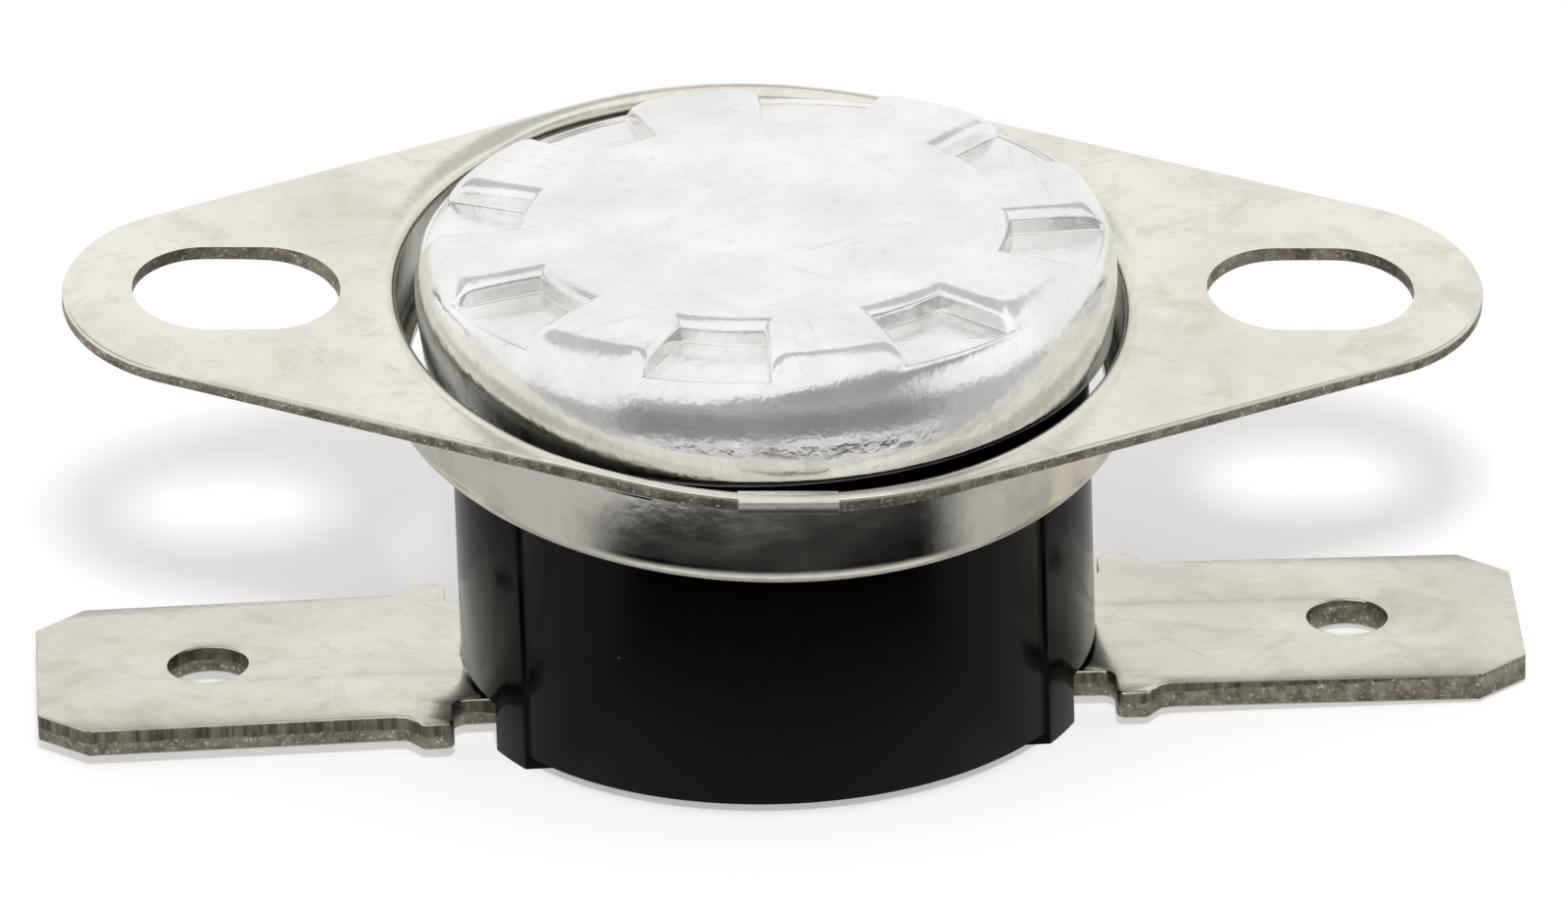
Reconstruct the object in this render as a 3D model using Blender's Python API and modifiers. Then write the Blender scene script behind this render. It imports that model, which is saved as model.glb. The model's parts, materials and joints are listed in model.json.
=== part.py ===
"""Snap-action bimetal thermostat with a loose mounting bracket, modelled piece by piece.

An aluminium cup is crimped over a round moulded base. Inside it a domed bimetal disc sits over a
push pin, which opens a pair of contacts when the disc snaps. Two flat tabs leave the base sideways.
The bracket is a drawn steel ring with two slotted ears. It hangs loosely round the cup, so it can
turn, and it lies at the slight tilt in which it has come to rest.

Metres, +Z up. The origin is on the base's axis, at the underside of its feet. The tabs lie along X.
"""

import math

import bmesh
import bpy

MM = 0.001
DEGREE = math.pi / 180.0

# Clearances between pieces
SEAT_GAP = 0.04 * MM
RUNNING_GAP = 0.05 * MM
SLACK = 0.12 * MM

# Push pin and its guide
PIN_RADIUS = 1.0 * MM
PIN_TRAVEL = 0.3 * MM
PIN_NOSE = 0.7 * MM
GUIDE_THICKNESS = 0.7 * MM
GUIDE_BOSS_WALL = 1.2 * MM
GUIDE_BOSS_DEPTH = 0.6 * MM
GUIDE_RIM_WIDTH = 0.6 * MM
GUIDE_RIM_HEIGHT = 0.4 * MM
GUIDE_SEAT_WIDTH = 0.7 * MM

# Contacts
LEAF_THICKNESS = 0.15 * MM
LEAF_ROOT_RADIUS = 1.2 * MM
LEAF_TIP_MARGIN = 0.1 * MM
CONTACT_RADIUS = 0.75 * MM
CONTACT_HEIGHT = 0.45 * MM
CONTACT_SHANK_RADIUS = 0.35 * MM
CONTACT_TAIL_RADIUS = 0.55 * MM
CONTACT_TAIL_HEIGHT = 0.12 * MM
CONTACT_PIN_GAP = 0.3 * MM
RISER_GAP = 0.35 * MM
PLATE_THICKNESS = 0.25 * MM
PLATE_WIDTH = 2.5 * MM
PLATE_END_MARGIN = 0.15 * MM
PLATE_FOOT_REACH = 0.95 * MM

# Rivets and posts
RIVET_RADIUS = 0.8 * MM
RIVET_HEAD_RADIUS = 1.2 * MM
RIVET_HEAD_HEIGHT = 0.28 * MM
RIVET_FOOT_HEIGHT = 0.2 * MM
RIVET_SIDE_GAP = 0.1 * MM
POST_RADIUS = 1.45 * MM
LEAF_POST_HEIGHT = 1.8 * MM
PLATE_POST_HEIGHT = 1.3 * MM

# Moulded base
BODY_WALL = 1.1 * MM
BODY_FLOOR = 1.9 * MM
NECK_TOP = 8.8 * MM
FLANGE_HEIGHT = 0.7 * MM
FLANGE_PROUD = 0.3 * MM
FOOT_HEIGHT = 0.3 * MM
FOOT_WIDTH = 1.31 * MM
WING_PROUD = 0.08 * MM
WING_DROP = 1.0 * MM
CHANNEL_SIDE_GAP = 0.28 * MM
CHANNEL_END_GAP = 1.4 * MM
CHANNEL_CORNER = 0.22 * MM
GUIDE_SEAT_DEPTH = 0.8 * MM

# Quick-connect tabs
TAB_TOP = 1.01 * MM
TAB_THICKNESS = 0.65 * MM
TAB_WIDTH = 6.2 * MM
TAB_LENGTH = 8.4 * MM
TAB_HOLE_FROM_TIP = 3.82 * MM
TAB_HOLE_RADIUS = 0.9 * MM
TAB_CHAMFER_LENGTH = 1.1 * MM
TAB_CHAMFER_WIDTH = 0.95 * MM
TAB_COIN = 0.16 * MM
SHOULDER_GAP = 0.35 * MM
SHOULDER_LENGTH = 0.8 * MM
SHOULDER_PROUD = 0.5 * MM
SHOULDER_ROUND = 0.22 * MM
NECK_HALF_WIDTH = 2.45 * MM
NECK_ROUND = 0.3 * MM
TAB_INNER_REACH = 2.0 * MM
TAB_BEND_REACH = 0.8 * MM
TAB_DROOP = {"left": 0.0, "right": 1.5 * DEGREE}

# Bimetal disc
DISC_EDGE_GAP = 0.25 * MM
DISC_THICKNESS = 0.16 * MM
DISC_DOME = 0.4 * MM

# Aluminium cup
CAP_WALL = 0.4 * MM
CAP_HEADROOM = 0.41 * MM
CAP_SIDE_GAP = 0.07 * MM
CAP_CRIMP_GAP = 0.18 * MM
CAP_SHOULDER = 0.8 * MM
CAP_SHOULDER_DROP = 1.45 * MM
CAP_TUCK = 0.57 * MM
CAP_INNER_CORNER = 0.05 * MM

# Pressed pockets round the cup's edge
POCKET_COUNT = 8
POCKET_PHASE = -12.5 * DEGREE
POCKET_DEPTH = 0.55 * MM
POCKET_LENGTH = 2.3 * MM
POCKET_HALF_WIDTH = 0.9 * MM
POCKET_FLARE = 0.24
POCKET_EDGE = 0.42 * MM
POCKET_SHEAR = 0.28 * MM
POCKET_DRAFT = 0.03 * MM
POCKET_ROLLOVER = 0.34 * MM
POCKET_SETBACK = 0.24 * MM

# Bracket
SHEET = 0.32 * MM
BRACKET_PLAY = 0.31 * MM
PLATE_MARGIN = 0.12 * MM
BACK_MARGIN = 0.03 * MM
COLLAR_DEPTH = 2.6 * MM
COLLAR_ROLL = 0.65 * MM
COLLAR_BEND = 0.3 * MM
EAR_RADIUS = 3.47 * MM
EAR_SHIFT = 0.37 * MM
OUTLINE_TURN = 0.8 * DEGREE
OUTLINE_SHIFT = (0.29 * MM, -0.14 * MM)
SLOT_X = 11.9 * MM
SLOT_WIDTH = 3.35 * MM
SLOT_LENGTH = 4.6 * MM
TIE_TAB_X = -0.15 * MM
TIE_TAB_WIDTH = 2.2 * MM
TIE_TAB_PROUD = 0.06 * MM
RING_X = -0.11 * MM
RING_Y = 0.136 * MM
RING_DROP = 1.673 * MM
RING_TILT = (8.15 * DEGREE, 3.35 * DEGREE, 0.6 * DEGREE)

# Facets
ROUND_STEPS = 72
SMALL_STEPS = 24
POCKET_FLOOR_STEPS = 3
POCKET_ROLLOVER_STEPS = 2
SHOULDER_STEPS = 5
ARC_STEPS = 6
CUT_PAST = 1.0 * MM

# Places across the base that follow from the sizes above, from its axis outward
CONTACT_X = PIN_RADIUS + CONTACT_PIN_GAP + CONTACT_RADIUS
PLATE_RISER_X = CONTACT_X + CONTACT_RADIUS + RISER_GAP
RIVET_X = PLATE_RISER_X + PLATE_THICKNESS + RIVET_HEAD_RADIUS
CAVITY_RADIUS = RIVET_X + RIVET_HEAD_RADIUS + RIVET_SIDE_GAP
BODY_RADIUS = CAVITY_RADIUS + BODY_WALL
FLANGE_RADIUS = BODY_RADIUS + FLANGE_PROUD
GUIDE_RADIUS = CAVITY_RADIUS + GUIDE_SEAT_WIDTH
GUIDE_BOSS_RADIUS = PIN_RADIUS + GUIDE_BOSS_WALL
DISC_RADIUS = GUIDE_RADIUS - DISC_EDGE_GAP
CAP_RADIUS = FLANGE_RADIUS + CAP_SIDE_GAP + CAP_WALL
POCKET_INNER_RADIUS = CAP_RADIUS - POCKET_LENGTH
COLLAR_BORE = CAP_RADIUS + BRACKET_PLAY
COLLAR_RADIUS = COLLAR_BORE + SHEET
PLATE_RADIUS = COLLAR_RADIUS + PLATE_MARGIN
EAR_X = SLOT_X + EAR_SHIFT
CHANNEL_HALF_WIDTH = NECK_HALF_WIDTH + CHANNEL_SIDE_GAP
WING_HALF_WIDTH = CHANNEL_HALF_WIDTH + FOOT_WIDTH
SHOULDER_X = BODY_RADIUS + SHOULDER_GAP + SHOULDER_LENGTH
TAB_TIP_X = SHOULDER_X + TAB_LENGTH
TAB_HOLE_X = TAB_TIP_X - TAB_HOLE_FROM_TIP
TAB_INNER_X = RIVET_X - TAB_INNER_REACH
TAB_BEND_X = RIVET_X + TAB_BEND_REACH
CHANNEL_INNER_X = TAB_INNER_X - CHANNEL_END_GAP

# Heights that follow, from the feet upward
TAB_BOTTOM = TAB_TOP - TAB_THICKNESS
CHANNEL_CEILING = TAB_TOP + SLACK
CAVITY_FLOOR = CHANNEL_CEILING + BODY_FLOOR
LEAF_BOTTOM = CAVITY_FLOOR + LEAF_POST_HEIGHT + SLACK
LEAF_TOP = LEAF_BOTTOM + LEAF_THICKNESS
LEAF_MIDDLE = 0.5 * (LEAF_BOTTOM + LEAF_TOP)
PLATE_FOOT = CAVITY_FLOOR + PLATE_POST_HEIGHT + SEAT_GAP
MOVING_CONTACT_TOP = LEAF_TOP + SEAT_GAP + CONTACT_HEIGHT
FIXED_CONTACT_BOTTOM = MOVING_CONTACT_TOP + SEAT_GAP
PLATE_ARM = FIXED_CONTACT_BOTTOM + CONTACT_HEIGHT + SEAT_GAP
WING_TOP = NECK_TOP - WING_DROP
BODY_TOP = NECK_TOP + FLANGE_HEIGHT
GUIDE_SEAT = BODY_TOP - GUIDE_SEAT_DEPTH
GUIDE_BOTTOM = GUIDE_SEAT + SEAT_GAP
GUIDE_TOP = GUIDE_BOTTOM + GUIDE_THICKNESS
GUIDE_RIM_TOP = GUIDE_TOP + GUIDE_RIM_HEIGHT
DISC_RIM = GUIDE_RIM_TOP + SEAT_GAP
PIN_TOP = DISC_RIM - DISC_DOME + PIN_TRAVEL
CAP_BOTTOM = NECK_TOP - CAP_CRIMP_GAP - CAP_WALL
CAP_TOP = DISC_RIM + DISC_DOME + DISC_THICKNESS + CAP_HEADROOM + CAP_WALL
CAP_WIDEST = CAP_TOP - CAP_SHOULDER_DROP
RING_CENTRE = (RING_X, RING_Y, CAP_TOP - RING_DROP)


def clear_scene():
    for old in list(bpy.data.objects):
        bpy.data.objects.remove(old, do_unlink=True)


def new_collection(name):
    collection = bpy.data.collections.new(name)
    bpy.context.scene.collection.children.link(collection)
    return collection


def material(name, colour, roughness, metallic):
    made = bpy.data.materials.new(name)
    made.use_nodes = True
    shader = made.node_tree.nodes["Principled BSDF"]
    shader.inputs["Base Color"].default_value = (*colour, 1.0)
    shader.inputs["Roughness"].default_value = roughness
    shader.inputs["Metallic"].default_value = metallic
    return made


def add_object(name, mesh, collection, finish=None):
    made = bpy.data.objects.new(name, mesh)
    collection.objects.link(made)
    if finish:
        mesh.materials.append(finish)
    return made


def as_cutter(cutter):
    cutter.hide_render = True
    cutter.display_type = "WIRE"
    return cutter


def mesh_of(name, build):
    """A mesh that build(bm) fills, with its faces turned outward."""
    bm = bmesh.new()
    build(bm)
    bmesh.ops.recalc_face_normals(bm, faces=bm.faces[:])
    mesh = bpy.data.meshes.new(name)
    bm.to_mesh(mesh)
    bm.free()
    return mesh


def smooth(target, angle=35.0):
    target.data.shade_smooth()
    target.data.set_sharp_from_angle(angle=angle * DEGREE)


def arc(centre, radius, start, end, steps=ARC_STEPS):
    """Points along an arc, angles in degrees."""
    points = []
    for i in range(steps + 1):
        angle = (start + (end - start) * i / steps) * DEGREE
        points.append(
            (centre[0] + radius * math.cos(angle), centre[1] + radius * math.sin(angle))
        )
    return points


def oval_arc(centre, across, up, start, end, steps):
    """Points along an arc of an ellipse with the half axes across and up, angles in degrees."""
    points = []
    for x, y in arc((0.0, 0.0), 1.0, start, end, steps):
        points.append((centre[0] + across * x, centre[1] + up * y))
    return points


def turned(name, profile, collection, finish=None, steps=ROUND_STEPS):
    """A solid of revolution about Z. The profile runs down its outer side, and both ends are on the axis
    or it closes on itself."""
    closed = profile[0][0] > 0.0
    mesh = bpy.data.meshes.new(name)
    count = len(profile)
    edges = [(i, i + 1) for i in range(count - 1)]
    if closed:
        edges.append((count - 1, 0))
    mesh.from_pydata([(r, 0.0, z) for r, z in profile], edges, [])
    made = add_object(name, mesh, collection, finish)
    screw = made.modifiers.new("Turn", "SCREW")
    screw.steps = screw.render_steps = steps
    screw.use_merge_vertices = True
    screw.merge_threshold = 0.001 * MM
    screw.use_smooth_shade = True
    return made


def prism(name, outline, low, high, collection, finish=None):
    """A flat outline in X and Y, raised from low to high."""

    def build(bm):
        base = bm.faces.new([bm.verts.new((x, y, low)) for x, y in outline])
        raised = bmesh.ops.extrude_face_region(bm, geom=[base])["geom"]
        corners = [v for v in raised if isinstance(v, bmesh.types.BMVert)]
        bmesh.ops.translate(bm, verts=corners, vec=(0.0, 0.0, high - low))

    return add_object(name, mesh_of(name, build), collection, finish)


def box(name, low, high, collection, finish=None):
    outline = [(low[0], low[1]), (high[0], low[1]), (high[0], high[1]), (low[0], high[1])]
    return prism(name, outline, low[2], high[2], collection, finish)


def rod(name, x, y, radius, low, high, collection, steps=SMALL_STEPS):
    """A plain round cutter or post along Z."""
    outline = arc((x, y), radius, 0.0, 360.0 - 360.0 / steps, steps - 1)
    return as_cutter(prism(name, outline, low, high, collection))


def boolean(target, operation, other):
    step = target.modifiers.new(operation.title() + " " + other.name, "BOOLEAN")
    step.operation = operation
    step.solver = "EXACT"
    step.object = other


def hull_outline(circles, steps):
    """The taut outline round circles (x, y, radius) that lie in a row."""
    outline = []
    for x, y, radius in circles:
        outline += arc((x, y), radius, 0.0, 360.0 - 360.0 / steps, steps - 1)
    return convex_outline(outline)


def convex_outline(points):
    """Counter-clockwise convex hull, for outlines given by round corners."""

    def turn(a, b, c):
        return (b[0] - a[0]) * (c[1] - a[1]) - (b[1] - a[1]) * (c[0] - a[0])

    def half(ordered):
        chain = []
        for point in ordered:
            while len(chain) > 1 and turn(chain[-2], chain[-1], point) <= 1e-14:
                chain.pop()
            chain.append(point)
        return chain[:-1]

    ordered = sorted(set(points))
    return half(ordered) + half(ordered[::-1])


def slot_outline(x, y, width, length):
    """An obround slot along X."""
    radius = 0.5 * width
    reach = 0.5 * length - radius
    right = arc((x + reach, y), radius, -90.0, 90.0, 2 * ARC_STEPS)
    left = arc((x - reach, y), radius, 90.0, 270.0, 2 * ARC_STEPS)
    return right + left


def channel_outline(side):
    """Plan of one tab channel, from the barrier rib out past the wall, its mouth rounded into the wall."""
    mouth = BODY_RADIUS + WING_PROUD
    half = CHANNEL_HALF_WIDTH
    centre_y = half + CHANNEL_CORNER
    centre_x = math.sqrt((mouth - CHANNEL_CORNER) ** 2 - centre_y**2)
    tangent = math.degrees(math.atan2(centre_y, centre_x))
    flank = arc((centre_x, centre_y), CHANNEL_CORNER, -90.0, 0.8 * tangent - 18.0, 4)
    last, before = flank[-1], flank[-2]
    run = (last[0] - before[0], last[1] - before[1])
    stretch = 2.0 * CUT_PAST / math.hypot(*run)
    flank.append((last[0] + run[0] * stretch, last[1] + run[1] * stretch))
    flank.append((mouth + CUT_PAST, flank[-1][1]))
    upper = [(CHANNEL_INNER_X, half)] + flank
    lower = [(x, -y) for x, y in reversed(upper)]
    return [(side * x, y) for x, y in upper + lower]


def make_base(parts, cutters):
    finish = material("black_phenolic", (0.012, 0.012, 0.012), 0.22, 0.0)
    profile = [
        (0.0, CAVITY_FLOOR),
        (CAVITY_RADIUS, CAVITY_FLOOR),
        (CAVITY_RADIUS, GUIDE_SEAT),
        (GUIDE_RADIUS + SEAT_GAP, GUIDE_SEAT),
        (GUIDE_RADIUS + SEAT_GAP, BODY_TOP),
        (FLANGE_RADIUS, BODY_TOP),
        (FLANGE_RADIUS, NECK_TOP),
        (BODY_RADIUS, NECK_TOP),
        (BODY_RADIUS, FOOT_HEIGHT),
        (0.0, FOOT_HEIGHT),
    ]
    base = turned("base_housing", profile, parts, finish)

    wing_radius = BODY_RADIUS + WING_PROUD
    wing_profile = [
        (0.0, WING_TOP),
        (wing_radius, WING_TOP),
        (wing_radius, 0.0),
        (0.0, 0.0),
    ]
    wings = as_cutter(turned("wing_round", wing_profile, cutters))
    slab = box(
        "wing_slab",
        (-wing_radius - CUT_PAST, -WING_HALF_WIDTH, -CUT_PAST),
        (wing_radius + CUT_PAST, WING_HALF_WIDTH, WING_TOP + CUT_PAST),
        cutters,
    )
    boolean(wings, "INTERSECT", as_cutter(slab))
    hollow = as_cutter(
        turned(
            "wing_hollow",
            [
                (0.0, WING_TOP + CUT_PAST),
                (0.5 * (CAVITY_RADIUS + BODY_RADIUS), WING_TOP + CUT_PAST),
                (0.5 * (CAVITY_RADIUS + BODY_RADIUS), CAVITY_FLOOR - 0.5 * BODY_FLOOR),
                (0.0, CAVITY_FLOOR - 0.5 * BODY_FLOOR),
            ],
            cutters,
        )
    )
    boolean(wings, "DIFFERENCE", hollow)
    boolean(base, "UNION", wings)

    for side, name in ((-1, "left"), (1, "right")):
        post_height = LEAF_POST_HEIGHT if side < 0 else PLATE_POST_HEIGHT
        post_low = CAVITY_FLOOR - 0.4 * BODY_FLOOR
        post = rod(
            "post_" + name,
            side * RIVET_X,
            0.0,
            POST_RADIUS,
            post_low,
            CAVITY_FLOOR + post_height,
            cutters,
        )
        boolean(base, "UNION", post)
    for side, name in ((-1, "left"), (1, "right")):
        channel = prism(
            "channel_" + name,
            channel_outline(side),
            -CUT_PAST,
            CHANNEL_CEILING,
            cutters,
        )
        boolean(base, "DIFFERENCE", as_cutter(channel))
        hole = rod(
            "rivet_hole_" + name,
            side * RIVET_X,
            0.0,
            RIVET_RADIUS + SEAT_GAP,
            0.0,
            NECK_TOP,
            cutters,
        )
        boolean(base, "DIFFERENCE", hole)
    return base


def tab_outline():
    """Half plan of a tab along +X, from the inner end to the tip."""
    half = 0.5 * TAB_WIDTH
    shoulder = half + SHOULDER_PROUD
    inner = SHOULDER_X - SHOULDER_LENGTH
    top = shoulder - SHOULDER_ROUND
    upper = [(TAB_INNER_X, NECK_HALF_WIDTH)]
    upper += arc((inner - NECK_ROUND, NECK_HALF_WIDTH + NECK_ROUND), NECK_ROUND, -90.0, 0.0, 4)
    upper += arc((inner + SHOULDER_ROUND, top), SHOULDER_ROUND, 180.0, 90.0, 4)
    upper += arc((SHOULDER_X - SHOULDER_ROUND, top), SHOULDER_ROUND, 90.0, 20.0, 4)
    upper += [(SHOULDER_X + SHOULDER_ROUND, half + 0.1 * SHOULDER_PROUD)]
    upper += [(SHOULDER_X + SHOULDER_PROUD, half)]
    upper += [(TAB_TIP_X - TAB_CHAMFER_LENGTH, half)]
    upper += [(TAB_TIP_X, half - TAB_CHAMFER_WIDTH)]
    return upper


def make_terminal(side, name, parts, cutters):
    finish = material("nickel_tab_" + name, (0.62, 0.6, 0.55), 0.3, 1.0)
    upper = tab_outline()
    outline = upper + [(x, -y) for x, y in reversed(upper)]
    if side < 0:
        outline = [(-x, y) for x, y in reversed(outline)]
    shifted = [(x - side * TAB_BEND_X, y) for x, y in outline]
    tab = prism("terminal_" + name, shifted, -TAB_THICKNESS, 0.0, parts, finish)
    tab.location = (side * TAB_BEND_X, 0.0, TAB_TOP)
    tab.rotation_euler[1] = side * TAB_DROOP[name]

    bm = bmesh.new()
    bm.from_mesh(tab.data)
    weight = bm.edges.layers.float.new("bevel_weight_edge")
    tip_start = TAB_TIP_X - TAB_CHAMFER_LENGTH - TAB_BEND_X - 0.01 * MM
    for edge in bm.edges:
        level = abs(edge.verts[0].co.z - edge.verts[1].co.z) < 0.01 * MM
        if level and all(side * v.co.x > tip_start for v in edge.verts):
            edge[weight] = 1.0
    bm.to_mesh(tab.data)
    bm.free()
    coin = tab.modifiers.new("Coined tip", "BEVEL")
    coin.limit_method = "WEIGHT"
    coin.width = TAB_COIN
    coin.segments = 1

    for label, x, radius in (
        ("hole", TAB_HOLE_X - TAB_BEND_X, TAB_HOLE_RADIUS),
        ("rivet_seat", RIVET_X - TAB_BEND_X, RIVET_RADIUS + SLACK),
    ):
        cutter = rod(
            f"{label}_{name}_tab",
            side * x,
            0.0,
            radius,
            -TAB_THICKNESS - CUT_PAST,
            CUT_PAST,
            cutters,
        )
        cutter.parent = tab
        boolean(tab, "DIFFERENCE", cutter)
    return tab


def make_rivet(side, name, parts):
    """A tubular rivet through the tab, the base and the contact piece."""
    finish = material("plated_rivet_" + name, (0.6, 0.56, 0.48), 0.35, 1.0)
    lower = TAB_BOTTOM - 0.5 * SLACK
    if side < 0:
        upper = LEAF_TOP + SLACK
    else:
        upper = PLATE_FOOT + PLATE_THICKNESS + SEAT_GAP
    crown = RIVET_HEAD_RADIUS
    edge = 0.3 * RIVET_FOOT_HEIGHT
    low = lower - RIVET_FOOT_HEIGHT
    bore = 0.5 * RIVET_RADIUS
    profile = [
        (0.0, upper + 0.2 * RIVET_HEAD_HEIGHT),
        (bore, upper + 0.4 * RIVET_HEAD_HEIGHT),
        (bore + edge, upper + RIVET_HEAD_HEIGHT),
        (crown - edge, upper + RIVET_HEAD_HEIGHT),
        (crown, upper + RIVET_HEAD_HEIGHT - edge),
        (crown, upper),
        (RIVET_RADIUS, upper),
        (RIVET_RADIUS, lower),
        (crown, lower),
        (crown, low + edge),
        (crown - edge, low),
        (bore + edge, low),
        (bore, low + 0.6 * RIVET_FOOT_HEIGHT),
        (0.0, low + 0.8 * RIVET_FOOT_HEIGHT),
    ]
    rivet = turned("rivet_" + name, profile, parts, finish, SMALL_STEPS)
    rivet.location.x = side * RIVET_X
    return rivet


def make_leaf(parts, cutters):
    """The moving contact's spring leaf. Its origin is where it flexes, at its rivet."""
    finish = material("copper_leaf", (0.75, 0.5, 0.3), 0.3, 1.0)
    reach = CONTACT_X + RIVET_X
    tip = CONTACT_RADIUS + LEAF_TIP_MARGIN
    outline = hull_outline(
        [(0.0, 0.0, LEAF_ROOT_RADIUS), (reach, 0.0, tip)], SMALL_STEPS
    )
    half = 0.5 * LEAF_THICKNESS
    leaf = prism("contact_leaf", outline, -half, half, parts, finish)
    leaf.location = (-RIVET_X, 0.0, LEAF_MIDDLE)
    for label, x, radius in (
        ("root", 0.0, RIVET_RADIUS + SLACK),
        ("tip", reach, CONTACT_SHANK_RADIUS + SEAT_GAP),
    ):
        cutter = rod("leaf_hole_" + label, x, 0.0, radius, -CUT_PAST, CUT_PAST, cutters)
        cutter.parent = leaf
        boolean(leaf, "DIFFERENCE", cutter)
    return leaf


def contact_profile(face, carrier, thickness, up):
    """A headed silver contact: its face, its shank through the carrier and its turned-over tail."""
    sign = 1.0 if up else -1.0
    round_off = 0.25 * CONTACT_HEIGHT
    crown = face - sign * 0.3 * round_off
    tail = carrier - sign * (thickness + SEAT_GAP)
    seat = carrier + sign * SEAT_GAP
    profile = [
        (0.0, face),
        (0.6 * CONTACT_RADIUS, face),
        (CONTACT_RADIUS - round_off, crown),
        (CONTACT_RADIUS, crown - sign * round_off),
        (CONTACT_RADIUS, seat),
        (CONTACT_SHANK_RADIUS, seat),
        (CONTACT_SHANK_RADIUS, tail),
        (CONTACT_TAIL_RADIUS, tail),
        (CONTACT_TAIL_RADIUS, tail - sign * CONTACT_TAIL_HEIGHT),
        (0.0, tail - sign * CONTACT_TAIL_HEIGHT),
    ]
    return profile if up else profile[::-1]


def make_contacts(parts):
    silver = material("silver_contact", (0.8, 0.79, 0.76), 0.25, 1.0)
    moving = turned(
        "moving_contact",
        contact_profile(MOVING_CONTACT_TOP, LEAF_TOP, LEAF_THICKNESS, True),
        parts,
        silver,
        SMALL_STEPS,
    )
    fixed = turned(
        "fixed_contact",
        contact_profile(FIXED_CONTACT_BOTTOM, PLATE_ARM, PLATE_THICKNESS, False),
        parts,
        silver,
        SMALL_STEPS,
    )
    for contact in (moving, fixed):
        contact.location.x = CONTACT_X
    return moving, fixed


def make_fixed_plate(parts, cutters):
    """A strip bent into a step: a foot on its post, a riser, and an arm over the moving contact."""
    finish = material("brass_plate", (0.8, 0.62, 0.32), 0.3, 1.0)
    half = 0.5 * PLATE_THICKNESS
    bend = PLATE_THICKNESS
    foot_z = PLATE_FOOT + half
    arm_z = PLATE_ARM + half
    path = [(RIVET_X + PLATE_FOOT_REACH, foot_z)]
    path += arc((PLATE_RISER_X + bend, foot_z + bend), bend, 270.0, 180.0, 3)
    path += arc((PLATE_RISER_X - bend, arm_z - bend), bend, 0.0, 90.0, 3)
    path += [(CONTACT_X - CONTACT_RADIUS - PLATE_END_MARGIN, arm_z)]

    def build(bm):
        wide = 0.5 * PLATE_WIDTH
        rows = [[bm.verts.new((x, y, z)) for y in (-wide, wide)] for x, z in path]
        for a, b in zip(rows, rows[1:]):
            bm.faces.new((a[0], a[1], b[1], b[0]))

    plate = add_object(
        "fixed_contact_plate", mesh_of("fixed_contact_plate", build), parts, finish
    )
    thicken = plate.modifiers.new("Sheet", "SOLIDIFY")
    thicken.thickness = PLATE_THICKNESS
    thicken.offset = 0.0
    thicken.use_even_offset = True
    for label, x, radius in (
        ("foot", RIVET_X, RIVET_RADIUS + SEAT_GAP),
        ("arm", CONTACT_X, CONTACT_SHANK_RADIUS + SEAT_GAP),
    ):
        middle = foot_z if label == "foot" else arm_z
        cutter = rod(
            "plate_hole_" + label,
            x,
            0.0,
            radius,
            middle - PLATE_THICKNESS,
            middle + PLATE_THICKNESS,
            cutters,
        )
        boolean(plate, "DIFFERENCE", cutter)
    return plate


def make_guide(parts):
    finish = material("cream_ceramic", (0.7, 0.66, 0.56), 0.55, 0.0)
    bore = PIN_RADIUS + RUNNING_GAP
    boss_low = GUIDE_BOTTOM - GUIDE_BOSS_DEPTH
    profile = [
        (bore, GUIDE_TOP),
        (GUIDE_RADIUS - GUIDE_RIM_WIDTH, GUIDE_TOP),
        (GUIDE_RADIUS - GUIDE_RIM_WIDTH, GUIDE_RIM_TOP),
        (GUIDE_RADIUS, GUIDE_RIM_TOP),
        (GUIDE_RADIUS, GUIDE_BOTTOM),
        (GUIDE_BOSS_RADIUS, GUIDE_BOTTOM),
        (GUIDE_BOSS_RADIUS, boss_low),
        (bore, boss_low),
    ]
    return turned("pin_guide", profile, parts, finish)


def make_pin(parts):
    finish = material("white_ceramic", (0.82, 0.8, 0.75), 0.45, 0.0)
    low = LEAF_TOP + SEAT_GAP
    nose = PIN_NOSE
    profile = [(0.0, PIN_TOP)]
    profile += arc((PIN_RADIUS - nose, PIN_TOP - nose), nose, 90.0, 0.0, 4)
    profile += arc((PIN_RADIUS - nose, low + nose), nose, 0.0, -90.0, 4)
    profile += [(0.0, low)]
    return turned("push_pin", profile, parts, finish, SMALL_STEPS)


def make_disc(parts):
    """A shallow dome of even thickness, its rim on the guide."""
    finish = material("bimetal", (0.5, 0.46, 0.4), 0.32, 1.0)
    sphere = (DISC_RADIUS**2 + DISC_DOME**2) / (2.0 * DISC_DOME)
    rise = math.degrees(math.asin(DISC_RADIUS / sphere))
    centre = (0.0, DISC_RIM + DISC_DOME - sphere)
    outer = arc(centre, sphere + DISC_THICKNESS, 90.0, 90.0 - rise, 5)
    inner = arc(centre, sphere, 90.0 - rise, 90.0, 5)
    outer[0] = (0.0, outer[0][1])
    inner[-1] = (0.0, inner[-1][1])
    return turned("bimetal_disc", outer + inner, parts, finish)


def pocket_wall():
    """A pocket wall's section from its foot up: (distance from the foot, how deep it is pressed).

    The punch shears its lower part almost upright, and draws the top over into a round."""
    lip = 1.0 - POCKET_SHEAR / POCKET_DEPTH
    points = [(0.0, 1.0), (POCKET_DRAFT, lip)]
    for i in range(1, POCKET_ROLLOVER_STEPS + 1):
        turn = 0.5 * math.pi * i / POCKET_ROLLOVER_STEPS
        points.append(
            (POCKET_DRAFT + POCKET_ROLLOVER * (1.0 - math.cos(turn)), lip * (1.0 - math.sin(turn)))
        )
    return points


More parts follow.
